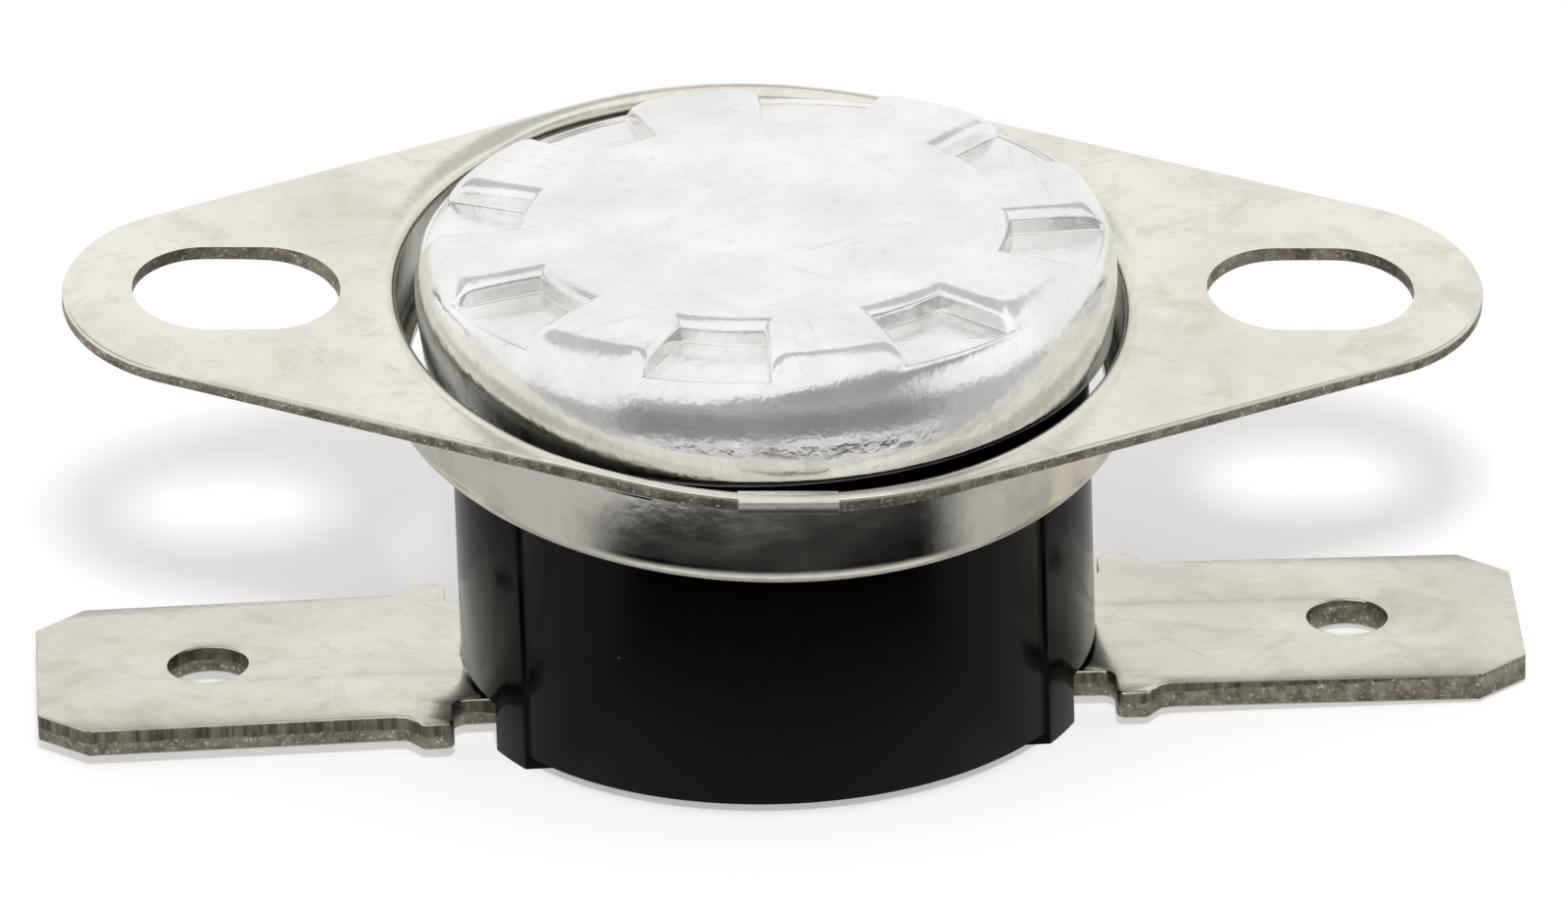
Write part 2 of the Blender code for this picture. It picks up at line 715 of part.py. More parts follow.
def cap_rows(offset, setback, steps):
    """Rows of the cup's skin from the centre outward and down to its widest.

    Each is (plain point, pocketed point, press of the pocket's inner wall there), the points being
    (radius, height). offset is 0 for the outer skin and the wall for the inner one, whose pocket walls
    also stand back by setback."""
    top = CAP_TOP - offset
    side = CAP_RADIUS - offset
    floor = top - POCKET_DEPTH
    inner = POCKET_INNER_RADIUS - setback
    rows = [((0.55 * inner, top), (0.55 * inner, floor), 0.0)]
    for run, pressed in reversed(pocket_wall()):
        rows.append(((inner - run, top), (inner - run, floor), pressed))
    shoulder = max(CAP_SHOULDER - offset, 0.2 * CAP_SHOULDER)
    edge = max(POCKET_EDGE - offset, 0.2 * POCKET_EDGE)
    rise = top - CAP_WIDEST
    plain = oval_arc((side - shoulder, CAP_WIDEST), shoulder, rise, 90.0, 0.0, steps)
    pocket = oval_arc((side - edge, CAP_WIDEST), edge, rise - POCKET_DEPTH, 90.0, 0.0, steps)
    rows += [(a, b, 1.0) for a, b in zip(plain, pocket)]
    return rows


def pocket_columns():
    """Columns round the cup: (the pocket's centre angle, share of its half width, run, press).

    On a side wall the share is -1 or 1, and run and press are the wall's. The column midway between
    two pockets has no share."""
    cell = 2.0 * math.pi / POCKET_COUNT
    floor = [(-1.0 + 2.0 * i / POCKET_FLOOR_STEPS, 0.0, 1.0) for i in range(POCKET_FLOOR_STEPS + 1)]
    wall = [(1.0, run, pressed) for run, pressed in pocket_wall()[1:]]
    across = [(-share, run, pressed) for share, run, pressed in reversed(wall)] + floor + wall
    columns = []
    for k in range(POCKET_COUNT):
        middle = POCKET_PHASE - 0.5 * math.pi + k * cell
        columns.append((middle - 0.5 * cell, None, 0.0, 0.0))
        columns += [(middle, *place) for place in across]
    return columns


def pocket_angle(column, radius, setback=0.0):
    """A column's angle at this radius. The pocket widens outward, and its walls keep to its sides."""
    middle, share, run, _ = column
    if share is None:
        return middle
    reach = max(radius, 0.8 * POCKET_INNER_RADIUS)
    half = POCKET_HALF_WIDTH + setback + POCKET_FLARE * (reach - POCKET_INNER_RADIUS)
    return middle + (share * half + math.copysign(run, share)) / reach


def cap_skin(bm, offset, setback, columns, steps):
    """One skin of the cup, as rings of vertices from the top's edge down to its widest.

    Where a pocket's side wall meets its inner wall, the shallower of the two holds, as in a mitre."""
    rings = []
    for plain, pocket, inner_press in cap_rows(offset, setback, steps):
        ring = []
        for column in columns:
            angle = pocket_angle(column, plain[0], setback)
            share = min(column[3], inner_press)
            r = plain[0] + share * (pocket[0] - plain[0])
            z = plain[1] + share * (pocket[1] - plain[1])
            ring.append(bm.verts.new((r * math.cos(angle), r * math.sin(angle), z)))
        rings.append(ring)
    return rings


def plain_ring(bm, radius, height, columns):
    ring = []
    for column in columns:
        angle = pocket_angle(column, CAP_RADIUS)
        ring.append(bm.verts.new((radius * math.cos(angle), radius * math.sin(angle), height)))
    return ring


def make_cap(parts):
    """The cup: below its widest the wall is tucked in, down to the lip crimped under the flange."""
    finish = material("bright_aluminium", (0.9, 0.9, 0.88), 0.3, 1.0)
    columns = pocket_columns()
    lip = BODY_RADIUS + CAP_SIDE_GAP
    inner_side = CAP_RADIUS - CAP_WALL
    corner = (inner_side - CAP_INNER_CORNER, CAP_BOTTOM + CAP_WALL + CAP_INNER_CORNER)
    tuck = oval_arc(
        (CAP_RADIUS - CAP_TUCK, CAP_WIDEST), CAP_TUCK, CAP_WIDEST - CAP_BOTTOM, 0.0, -90.0, 5
    )
    rim = tuck[1:] + [(lip, CAP_BOTTOM), (lip, CAP_BOTTOM + CAP_WALL)]
    rim += arc(corner, CAP_INNER_CORNER, -90.0, 0.0, 2)

    def build(bm):
        rings = cap_skin(bm, 0.0, 0.0, columns, SHOULDER_STEPS)
        rings += [plain_ring(bm, r, z, columns) for r, z in rim]
        rings += cap_skin(bm, CAP_WALL, POCKET_SETBACK, columns, SHOULDER_STEPS - 2)[::-1]
        count = len(columns)
        for a, b in zip(rings, rings[1:]):
            for i in range(count):
                j = (i + 1) % count
                bm.faces.new((a[i], a[j], b[j], b[i]))
        for ring, height in ((rings[0], CAP_TOP), (rings[-1], CAP_TOP - CAP_WALL)):
            centre = bm.verts.new((0.0, 0.0, height))
            for i in range(count):
                bm.faces.new((ring[i], ring[(i + 1) % count], centre))

    cap = add_object("heat_cap", mesh_of("heat_cap", build), parts, finish)
    smooth(cap)
    return cap


def make_bracket(parts, cutters):
    """The bracket in its own frame: its upper face at Z 0, its collar's axis along Z.

    The plate is blanked a little off the collar's axis, and behind the collar it keeps a narrow edge."""
    finish = material("nickel_bracket", (0.7, 0.68, 0.62), 0.28, 1.0)
    plate_x, plate_y = OUTLINE_SHIFT
    ear_x = EAR_X * math.cos(OUTLINE_TURN)
    ear_y = EAR_X * math.sin(OUTLINE_TURN)
    circles = [
        (plate_x - ear_x, plate_y - ear_y, EAR_RADIUS),
        (plate_x, plate_y, PLATE_RADIUS),
        (0.0, 0.0, COLLAR_RADIUS + BACK_MARGIN),
        (plate_x + ear_x, plate_y + ear_y, EAR_RADIUS),
    ]
    outline = hull_outline(circles, ROUND_STEPS)
    bracket = prism("mounting_bracket", outline, -SHEET, 0.0, parts, finish)
    bracket.location = RING_CENTRE
    bracket.rotation_euler = RING_TILT

    bore = COLLAR_BORE
    low = -COLLAR_DEPTH
    lip_radius = COLLAR_RADIUS - COLLAR_ROLL
    roll_centre = (lip_radius, low + COLLAR_ROLL)
    drum = [(0.0, -0.5 * SHEET), (COLLAR_RADIUS, -0.5 * SHEET)]
    drum += arc(roll_centre, COLLAR_ROLL, 0.0, -90.0, 4)
    drum += [(0.0, low)]
    collar = as_cutter(turned("collar_drum", drum, cutters))

    flare = arc((bore + COLLAR_BEND, -COLLAR_BEND), COLLAR_BEND, 97.0, 180.0, 5)
    steep = (flare[0][0] - flare[1][0], flare[0][1] - flare[1][1])
    reach = 0.6 * SHEET / math.hypot(*steep)
    mouth = (flare[0][0] + steep[0] * reach, flare[0][1] + steep[1] * reach)
    void = [(0.0, CUT_PAST), (mouth[0], CUT_PAST), mouth] + flare
    void += arc(roll_centre, COLLAR_ROLL - SHEET, 0.0, -90.0, 3)
    void += [(lip_radius, low - CUT_PAST), (0.0, low - CUT_PAST)]
    hollow = as_cutter(turned("collar_void", void, cutters))

    tie_half = 0.5 * TIE_TAB_WIDTH
    tie = box(
        "tie_tab",
        (plate_x + TIE_TAB_X - tie_half, plate_y - PLATE_RADIUS - TIE_TAB_PROUD, -0.96 * SHEET),
        (plate_x + TIE_TAB_X + tie_half, -COLLAR_RADIUS + 0.5 * SHEET, -0.04 * SHEET),
        cutters,
    )
    for tool, operation in (
        (collar, "UNION"),
        (as_cutter(tie), "UNION"),
        (hollow, "DIFFERENCE"),
    ):
        tool.parent = bracket
        boolean(bracket, operation, tool)
    for side, name in ((-1, "left"), (1, "right")):
        slot = prism(
            "slot_" + name,
            slot_outline(plate_x + side * SLOT_X, plate_y, SLOT_WIDTH, SLOT_LENGTH),
            -SHEET - CUT_PAST,
            CUT_PAST,
            cutters,
        )
        slot.parent = bracket
        boolean(bracket, "DIFFERENCE", as_cutter(slot))
    return bracket


def main():
    clear_scene()
    parts = new_collection("bimetal_thermostat")
    cutters = new_collection("cutters")
    make_base(parts, cutters)
    make_cap(parts)
    make_disc(parts)
    make_guide(parts)
    make_pin(parts)
    make_leaf(parts, cutters)
    make_contacts(parts)
    make_fixed_plate(parts, cutters)
    for side, name in ((-1, "left"), (1, "right")):
        make_terminal(side, name, parts, cutters)
        make_rivet(side, name, parts)
    make_bracket(parts, cutters)


main()
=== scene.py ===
"""Looks of the bimetal thermostat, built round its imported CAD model.

The cup, bracket, base and tabs are finer meshes that stand exactly where their CAD nodes are. All the
finishes are procedural. Metres, +Z up, the origin at the underside of the base's feet.
"""

import json
import math

import bmesh
import bpy
from mathutils import Matrix, Vector

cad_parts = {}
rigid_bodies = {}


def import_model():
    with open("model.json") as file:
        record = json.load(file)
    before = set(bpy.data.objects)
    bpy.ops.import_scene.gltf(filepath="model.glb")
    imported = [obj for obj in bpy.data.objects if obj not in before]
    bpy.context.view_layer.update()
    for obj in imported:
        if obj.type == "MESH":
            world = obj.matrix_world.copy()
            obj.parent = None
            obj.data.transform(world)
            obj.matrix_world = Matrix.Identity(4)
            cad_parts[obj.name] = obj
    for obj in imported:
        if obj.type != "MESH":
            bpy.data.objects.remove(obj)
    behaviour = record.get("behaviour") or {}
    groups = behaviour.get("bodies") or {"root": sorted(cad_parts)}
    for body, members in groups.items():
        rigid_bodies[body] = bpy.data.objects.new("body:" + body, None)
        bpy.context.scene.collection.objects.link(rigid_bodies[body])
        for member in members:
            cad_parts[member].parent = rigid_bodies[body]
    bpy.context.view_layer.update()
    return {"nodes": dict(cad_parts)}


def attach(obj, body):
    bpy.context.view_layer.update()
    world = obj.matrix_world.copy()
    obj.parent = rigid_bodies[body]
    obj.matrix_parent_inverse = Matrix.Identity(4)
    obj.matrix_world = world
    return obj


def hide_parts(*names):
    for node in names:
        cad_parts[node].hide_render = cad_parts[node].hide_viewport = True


MM = 0.001
DEGREE = math.pi / 180.0
IMAGE_SIZE = (1600, 923)

# The camera that fits the photograph
ELEVATION = 25.252 * DEGREE
AZIMUTH = -2.0 * DEGREE
ROLL = -1.908 * DEGREE
DISTANCE = 384.575 * MM
PIXELS_PER_MM = 45.938
AIM = (0.0, 0.0, 5.2 * MM)
AIM_PIXEL = (788.06, 475.66)
SENSOR_WIDTH = 36.0

# The lamp
KEY_PLACE = (0.0, -0.3, 0.3)
KEY_TARGET = (0.0, 0.0, 0.005)
KEY_SIZE = (0.05, 0.05)
KEY_POWER = 0.9

# Brightness of the world's light, of the floor's paper and of what the camera sees added to the paper
ROOM_LEVEL = 0.45
PAPER = 0.8
PAPER_LIFT = 0.42
FLOOR_SIZE = 600.0 * MM
FLOOR_DROP = 0.002 * MM

# How bright the room and the floor are where metal mirrors them. 1 is the white that the camera sees: with 1
# for every level here metal mirrors that plain white, and loses the dark bands that it has in the photograph
ROOM_WHITE = 1.0
ROOM_BACK = 0.97
ROOM_FRONT_LOW = 0.38
ROOM_HIGH = 0.6
FLOOR_SIDE_NEAR = 0.5
FLOOR_SIDE_FAR = 0.97
FLOOR_FRONT_BODY = 0.9
FLOOR_FRONT_DARK = 0.0
FLOOR_FRONT_RING = 0.9
FLOOR_FRONT_MIDDLE = 0.27
FLOOR_FRONT_FAR = 0.43

# Where the room's levels change, by how far forward or up a direction points, from -1 to 1
ROOM_BACK_SPAN = (-0.5, 0.2)
ROOM_HIGH_SPAN = (0.72, 0.84)
ROOM_HIGH_SIDEWAYS = 0.18
ROOM_HIGH_FORWARD_SPAN = (0.0, 0.4)
ROOM_ZENITH_SPAN = (0.95, 0.99)
ROOM_LOW_SPAN = (0.36, 0.52)
ROOM_LOW_FORWARD_SPAN = (-0.05, 0.25)

# Both ends of the dim patch low in front lean to the right with height: place at the floor, lean, softness
ROOM_LOW_LEFT = -0.42
ROOM_LOW_LEFT_LEAN = 2.2
ROOM_LOW_LEFT_SPAN = (-0.08, 0.12)
ROOM_LOW_RIGHT = 0.66
ROOM_LOW_RIGHT_SPAN = (-0.12, 0.1)

# Where the floor's levels change, by the distance from the axis, and how far forward the front begins
FLOOR_SIDE_SPAN = (34.0 * MM, 52.0 * MM)
FLOOR_BODY_SPAN = (6.6 * MM, 12.6 * MM)
FLOOR_RING_SPAN = (18.2 * MM, 19.2 * MM)
FLOOR_MIDDLE_SPAN = (20.0 * MM, 23.0 * MM)
FLOOR_FAR_SPAN = (32.0 * MM, 80.0 * MM)
FLOOR_FRONT_SPAN = (0.6, 0.8)

# Finishes: light tone, dark tone and stain
BRACKET_TONES = ((0.92, 0.895, 0.81), (0.78, 0.75, 0.67), (0.58, 0.53, 0.44))
TAB_TONES = ((0.78, 0.75, 0.665), (0.62, 0.59, 0.51), (0.46, 0.41, 0.33))

# Steps round each turned piece, and how far a cutting tool reaches past what it cuts
BRACKET_STEPS = 720
BASE_STEPS = 288
OUTLINE_STEPS = 480
HOLE_STEPS = 96
CUT_MARGIN = 1.0 * MM

# Rounding of hard edges, and the angle in degrees over which an edge stays sharp in the shading
STUB_EDGE, STUB_SHARP = 0.02 * MM, 30.0
BASE_EDGE, BASE_SHARP = 0.045 * MM, 25.0
TAB_EDGE, TAB_SHARP = 0.05 * MM, 40.0
BRACKET_SHARP = 32.0
INNER_SHARP = 35.0
INNER_WELD = 0.002 * MM

# Sizes shared with the CAD model
BODY_RADIUS = 7.0 * MM
NECK_TOP = 8.8 * MM
FLANGE_RADIUS = 7.3 * MM
FLANGE_TOP = 9.5 * MM
FOOT_HEIGHT = 0.3 * MM
WING_RADIUS = 7.08 * MM
WING_HALF_WIDTH = 4.04 * MM
WING_TOP = 7.8 * MM
CHANNEL_HALF_WIDTH = 2.73 * MM
CHANNEL_CORNER = 0.22 * MM
CHANNEL_INNER_X = 1.2 * MM
CHANNEL_CEILING = 1.13 * MM
CAVITY_FLOOR = 3.03 * MM
CAVITY_RADIUS = 5.9 * MM
CORE_RADIUS = 6.45 * MM

TAB_TOP = 1.01 * MM
TAB_THICKNESS = 0.65 * MM
TAB_WIDTH = 6.2 * MM
TAB_TIP_X = 16.55 * MM
TAB_HOLE_X = 12.73 * MM
TAB_HOLE_RADIUS = 0.9 * MM
TAB_CHAMFER_LENGTH = 1.1 * MM
TAB_CHAMFER_WIDTH = 0.95 * MM
SHOULDER_X = 8.15 * MM
SHOULDER_LENGTH = 0.8 * MM
SHOULDER_PROUD = 0.5 * MM
SHOULDER_ROUND = 0.22 * MM
NECK_HALF_WIDTH = 2.45 * MM
NECK_ROUND = 0.3 * MM
TAB_INNER_X = 2.6 * MM
TAB_BEND_X = 5.4 * MM
TAB_DROOP = {"left": 0.0, "right": 1.5 * DEGREE}
RIVET_X = 4.6 * MM
RIVET_HOLE = 0.92 * MM

CAP_RADIUS = 7.77 * MM
CAP_TOP = 11.25 * MM
CAP_BOTTOM = 8.22 * MM
CAP_WALL = 0.4 * MM
CAP_LIP = 7.07 * MM
CAP_SHOULDER = 0.8 * MM
CAP_WIDEST = 9.8 * MM
CAP_TUCK = 0.57 * MM
CAP_TUCK_END = -18.0
CAP_HEM = 0.26 * MM
CAP_SLOPE = 6.8
CAP_LIP_ROUND = 0.06 * MM
POCKET_COUNT = 8
POCKET_PHASE = -12.5 * DEGREE
POCKET_DEPTH = 0.55 * MM
POCKET_INNER_RADIUS = 5.47 * MM
POCKET_HALF_WIDTH = 0.9 * MM
POCKET_FLARE = 0.24
POCKET_EDGE = 0.42 * MM
POCKET_SHEAR = 0.28 * MM
POCKET_DRAFT = 0.03 * MM
POCKET_ROLLOVER = 0.34 * MM
POCKET_SPREAD = 1.1
POCKET_SPREAD_FROM = 6.3 * MM

SHEET = 0.32 * MM
PLATE_RADIUS = 8.52 * MM
BACK_MARGIN = 0.03 * MM
COLLAR_RADIUS = 8.4 * MM
COLLAR_DEPTH = 2.6 * MM
COLLAR_ROLL = 0.65 * MM
COLLAR_BEND = 0.36 * MM
BEND_WIDTH = 0.55 * MM
UNDER_BEND = 0.12 * MM
PLATE_EDGE = 0.07 * MM
EAR_RADIUS = 3.47 * MM
EAR_X = 12.27 * MM
OUTLINE_TURN = 0.8 * DEGREE
OUTLINE_SHIFT = (0.29 * MM, -0.14 * MM)
SLOT_X = 11.9 * MM
SLOT_WIDTH = 3.35 * MM
SLOT_LENGTH = 4.6 * MM
TIE_TAB_X = -0.15 * MM
TIE_TAB_WIDTH = 2.2 * MM
TIE_TAB_PROUD = 0.06 * MM
RING_CENTRE = (-0.11 * MM, 0.136 * MM, 9.577 * MM)
RING_TILT = (8.15 * DEGREE, 3.35 * DEGREE, 0.6 * DEGREE)


# ---------------------------------------------------------------- small helpers


def link(made):
    bpy.context.scene.collection.objects.link(made)
    return made


def mesh_object(name, points, faces, smooth=True):
    mesh = bpy.data.meshes.new(name)
    mesh.from_pydata(points, [], faces)
    mesh.validate()
    bm = bmesh.new()
    bm.from_mesh(mesh)
    bmesh.ops.recalc_face_normals(bm, faces=bm.faces[:])
    bm.to_mesh(mesh)
    bm.free()
    if smooth:
        mesh.shade_smooth()
    return link(bpy.data.objects.new(name, mesh))


def polar(radius, angle, z):
    return (radius * math.cos(angle), radius * math.sin(angle), z)


def arc(centre, radius, start, end, steps):
    """Points along an arc, from and to an angle in degrees."""
    points = []
    for i in range(steps + 1):
        angle = (start + (end - start) * i / steps) * DEGREE
        points.append((centre[0] + radius * math.cos(angle), centre[1] + radius * math.sin(angle)))
    return points


def circle(centre, radius, count):
    """Points all the way round, without the first one again at the end."""
    return arc(centre, radius, 0.0, 360.0 - 360.0 / count, count - 1)


def smoothstep(t):
    t = min(max(t, 0.0), 1.0)
    return t * t * (3.0 - 2.0 * t)


def apply_modifiers(made):
    """Bakes an object's modifiers into its mesh."""
    bpy.context.view_layer.update()
    graph = bpy.context.evaluated_depsgraph_get()
    baked = bpy.data.meshes.new_from_object(made.evaluated_get(graph))
    made.modifiers.clear()
    old = made.data
    made.data = baked
    bpy.data.meshes.remove(old)


def prism(name, outline, low, high):
    """An upright solid on a flat outline."""
    count = len(outline)
    points = [(x, y, low) for x, y in outline] + [(x, y, high) for x, y in outline]
    faces = [list(range(count))[::-1], list(range(count, 2 * count))]
    for i in range(count):
        j = (i + 1) % count
        faces.append([i, j, count + j, count + i])
    return mesh_object(name, points, faces, smooth=False)


def turned(name, profile, steps):
    """A closed solid of revolution; the profile's two ends are on the axis."""
    points = [(0.0, 0.0, profile[0][1])]
    rings = []
    for r, z in profile[1:-1]:
        rings.append(len(points))
        points.extend(polar(r, 2.0 * math.pi * k / steps, z) for k in range(steps))
    last = len(points)
    points.append((0.0, 0.0, profile[-1][1]))
    faces = []
    for k in range(steps):
        j = (k + 1) % steps
        faces.append([0, rings[0] + k, rings[0] + j])
        faces.append([last, rings[-1] + j, rings[-1] + k])
        for a, b in zip(rings, rings[1:]):
            faces.append([a + k, b + k, b + j, a + j])
    return mesh_object(name, points, faces, smooth=False)


def cut(target, tool, operation="DIFFERENCE"):
    step = target.modifiers.new(operation, "BOOLEAN")
    step.operation = operation
    step.solver = "EXACT"
    step.object = tool
    apply_modifiers(target)
    bpy.data.objects.remove(tool, do_unlink=True)


def soften(target, width, angle):
    """Rounds an object's hard edges and shades it smooth."""
    bevel = target.modifiers.new("Edge", "BEVEL")
    bevel.width = width
    bevel.segments = 2
    bevel.limit_method = "ANGLE"
    bevel.angle_limit = angle * DEGREE
    apply_modifiers(target)
    shade(target, angle)


def shade(target, angle):
    """Shades smooth, but for edges sharper than an angle in degrees."""
    target.data.shade_smooth()
    target.data.set_sharp_from_angle(angle=angle * DEGREE)


# ---------------------------------------------------------------- node materials


class Tree:
    """Adds and joins the nodes of one node tree."""

    def __init__(self, tree):
        self.tree = tree

    def add(self, kind, **values):
        made = self.tree.nodes.new(kind)
        for key, value in values.items():
            setattr(made, key, value)
        return made

    def join(self, a, b):
        self.tree.links.new(a, b)

    def math(self, operation, a, b=None):
        made = self.add("ShaderNodeMath", operation=operation)
        for place, value in enumerate((a, b)):
            if isinstance(value, (int, float)):
                made.inputs[place].default_value = value
            elif value is not None:
                self.join(value, made.inputs[place])
        return made.outputs[0]

    def times(self, a, b):
        return self.math("MULTIPLY", a, b)

    def ramp(self, value, low, high, start=0.0, end=1.0, shape="LINEAR"):
        """From start to end as a value goes from low to high, and level beyond them."""
        made = self.add("ShaderNodeMapRange", interpolation_type=shape)
        for key, number in (("From Min", low), ("From Max", high), ("To Min", start), ("To Max", end)):
            made.inputs[key].default_value = number
        self.join(value, made.inputs["Value"])
        return made.outputs["Result"]


class Nodes(Tree):
    """Builds one material's node tree round its Principled BSDF."""

    def __init__(self, name):
        self.material = bpy.data.materials.new(name)
        self.material.use_nodes = True
        super().__init__(self.material.node_tree)
        self.shader = self.tree.nodes["Principled BSDF"]
        self.coordinates = self.add("ShaderNodeTexCoord").outputs["Object"]

    def scaled(self, scale, turn=(0.0, 0.0, 0.0)):
        """The object's coordinates, turned and then scaled."""
        mapping = self.add("ShaderNodeMapping", vector_type="TEXTURE")
        mapping.inputs["Scale"].default_value = [1.0 / number for number in scale]
        mapping.inputs["Rotation"].default_value = turn
        self.join(self.coordinates, mapping.inputs["Vector"])
        return mapping.outputs["Vector"]

    def noise(self, scale, detail=4.0, rough=0.55, vector=None, distortion=0.0):
        made = self.add("ShaderNodeTexNoise")
        made.inputs["Scale"].default_value = scale
        made.inputs["Detail"].default_value = detail
        made.inputs["Roughness"].default_value = rough
        made.inputs["Distortion"].default_value = distortion
        self.join(vector or self.coordinates, made.inputs["Vector"])
        return made.outputs["Fac"]

    def cells(self, scale):
        """Distance from the nearest of scattered points."""
        made = self.add("ShaderNodeTexVoronoi")
        made.inputs["Scale"].default_value = scale
        self.join(self.coordinates, made.inputs["Vector"])
        return made.outputs["Distance"]

    def mix(self, amount, a, b):
        made = self.add("ShaderNodeMix", data_type="RGBA")
        for key, value in (("Factor", amount), ("A", a), ("B", b)):
            socket = [s for s in made.inputs if s.name == key and s.enabled][0]
            if isinstance(value, tuple):
                socket.default_value = (*value, 1.0)
            elif isinstance(value, (int, float)):
                socket.default_value = value
            else:
                self.join(value, socket)
        return [s for s in made.outputs if s.enabled][0]

    def xyz(self):
        made = self.add("ShaderNodeSeparateXYZ")
        self.join(self.coordinates, made.inputs[0])
        return made.outputs

    def scratches(self, turns, strength):
        """Sparse hairlines, one family for each turn."""
        total = 0.0
        for turn in turns:
            long = self.noise(1500.0, 1.0, 0.5, self.scaled((0.05, 1.7, 1.0), (0.0, 0.0, turn)))
            apart = self.math("ABSOLUTE", self.math("SUBTRACT", long, 0.5))
            patch = self.noise(350.0, 2.0, 0.5, self.scaled((1.0, 1.0, 1.0), (turn, 0.0, 0.0)))
            line = self.times(self.ramp(apart, 0.002, 0.008, strength, 0.0), self.ramp(patch, 0.55, 0.62))
            total = self.math("MAXIMUM", line, total)
        return total

    def colour(self, value):
        self.join(value, self.shader.inputs["Base Color"])

    def rough(self, value):
        self.join(value, self.shader.inputs["Roughness"])

    def bump(self, height, distance, under=None):
        made = self.add("ShaderNodeBump")
        made.inputs["Strength"].default_value = 1.0
        made.inputs["Distance"].default_value = distance
        self.join(height, made.inputs["Height"])
        if under:
            self.join(under, made.inputs["Normal"])
        return made.outputs["Normal"]

    def normal(self, value):
        self.join(value, self.shader.inputs["Normal"])

    def metal(self):
        self.shader.inputs["Metallic"].default_value = 1.0
        return self


# Scales are per metre: one bump of noise at scale 1000 is about a millimetre across


def nickel(name, light, dark, stain):
    """Satin nickel plate: faint rolling marks, cloudy tarnish, specks and pin scratches."""
    n = Nodes(name).metal()
    cloud = n.noise(260.0, 5.0, 0.6)
    fine = n.noise(2600.0, 3.0, 0.6)
    rolled = n.noise(900.0, 4.0, 0.6, n.scaled((0.25, 2.2, 1.0)))
    tone = n.mix(n.ramp(cloud, 0.36, 0.66), dark, light)
    warm = n.noise(620.0, 6.0, 0.7, distortion=0.6)
    tone = n.mix(n.ramp(warm, 0.5, 0.72, 0.0, 0.55), tone, stain)
    tone = n.mix(n.ramp(fine, 0.56, 0.75, 0.0, 0.2), tone, stain)
    jitter = n.noise(700.0, 2.0)
    near = n.math("ADD", n.cells(420.0), n.ramp(jitter, 0.3, 0.7, 0.0, 0.1))
    speck = n.ramp(near, 0.055, 0.085, 1.0, 0.0)
    rare = n.ramp(n.noise(130.0, 2.0), 0.5, 0.56)
    tone = n.mix(n.times(n.times(speck, rare), 0.75), tone, (0.09, 0.075, 0.055))
    tone = n.mix(n.scratches((0.25, -0.9), 0.3), tone, stain)
    n.colour(tone)
    n.rough(n.ramp(n.math("ADD", cloud, n.times(rolled, 0.5)), 0.55, 1.0, 0.14, 0.26))
    lines = n.noise(3200.0, 2.0, 0.5, n.scaled((0.12, 2.5, 1.0), (0.0, 0.0, 0.05)))
    height = n.math("ADD", n.times(fine, 0.5), n.times(lines, 0.35))
    n.normal(n.bump(height, 0.006 * MM, n.bump(cloud, 0.02 * MM)))
    return n.material


def sheared(name, tear=None):
    """Edge of cut sheet: dull and speckled with bright grains; above the tear height burnished and darker."""
    n = Nodes(name).metal()
    grain = n.noise(9000.0, 4.0, 0.7)
    patch = n.noise(2600.0, 4.0, 0.65)
    tone = n.mix(n.ramp(patch, 0.36, 0.64), (0.2, 0.17, 0.13), (0.46, 0.42, 0.34))
    tone = n.mix(n.ramp(grain, 0.57, 0.66), tone, (0.9, 0.87, 0.78))
    if tear is not None:
        ragged = n.math("ADD", n.xyz()["Z"], n.times(n.math("SUBTRACT", patch, 0.5), 0.25 * MM))
        score = n.noise(5200.0, 3.0, 0.6, n.scaled((1.0, 1.0, 0.12)))
        smooth = n.mix(n.ramp(score, 0.35, 0.7), (0.1, 0.085, 0.065), (0.32, 0.29, 0.23))
        tone = n.mix(n.ramp(ragged, tear - 0.01 * MM, tear + 0.01 * MM), tone, smooth)
    n.colour(tone)
    n.shader.inputs["Roughness"].default_value = 0.38
    n.normal(n.bump(n.math("ADD", grain, patch), 0.03 * MM))
    return n.material


def drawn_wall_with_painted_shade(name):
    """Inside of the collar's roll: dull and scored up and down by the punch, with dark tones that are painted
    shade for the gap between the collar and the base.
    """
    n = Nodes(name).metal()
    score = n.noise(2600.0, 3.0, 0.6, n.scaled((1.0, 1.0, 0.1)))
    # Dark tones, far darker than the plated nickel: painted shade deep in the gap between the roll and the
    # base; the scoring mixes them
    n.colour(n.mix(n.ramp(score, 0.35, 0.65), (0.2, 0.19, 0.16), (0.36, 0.34, 0.3)))
    n.shader.inputs["Roughness"].default_value = 0.45
    n.normal(n.bump(score, 0.012 * MM))
    return n.material


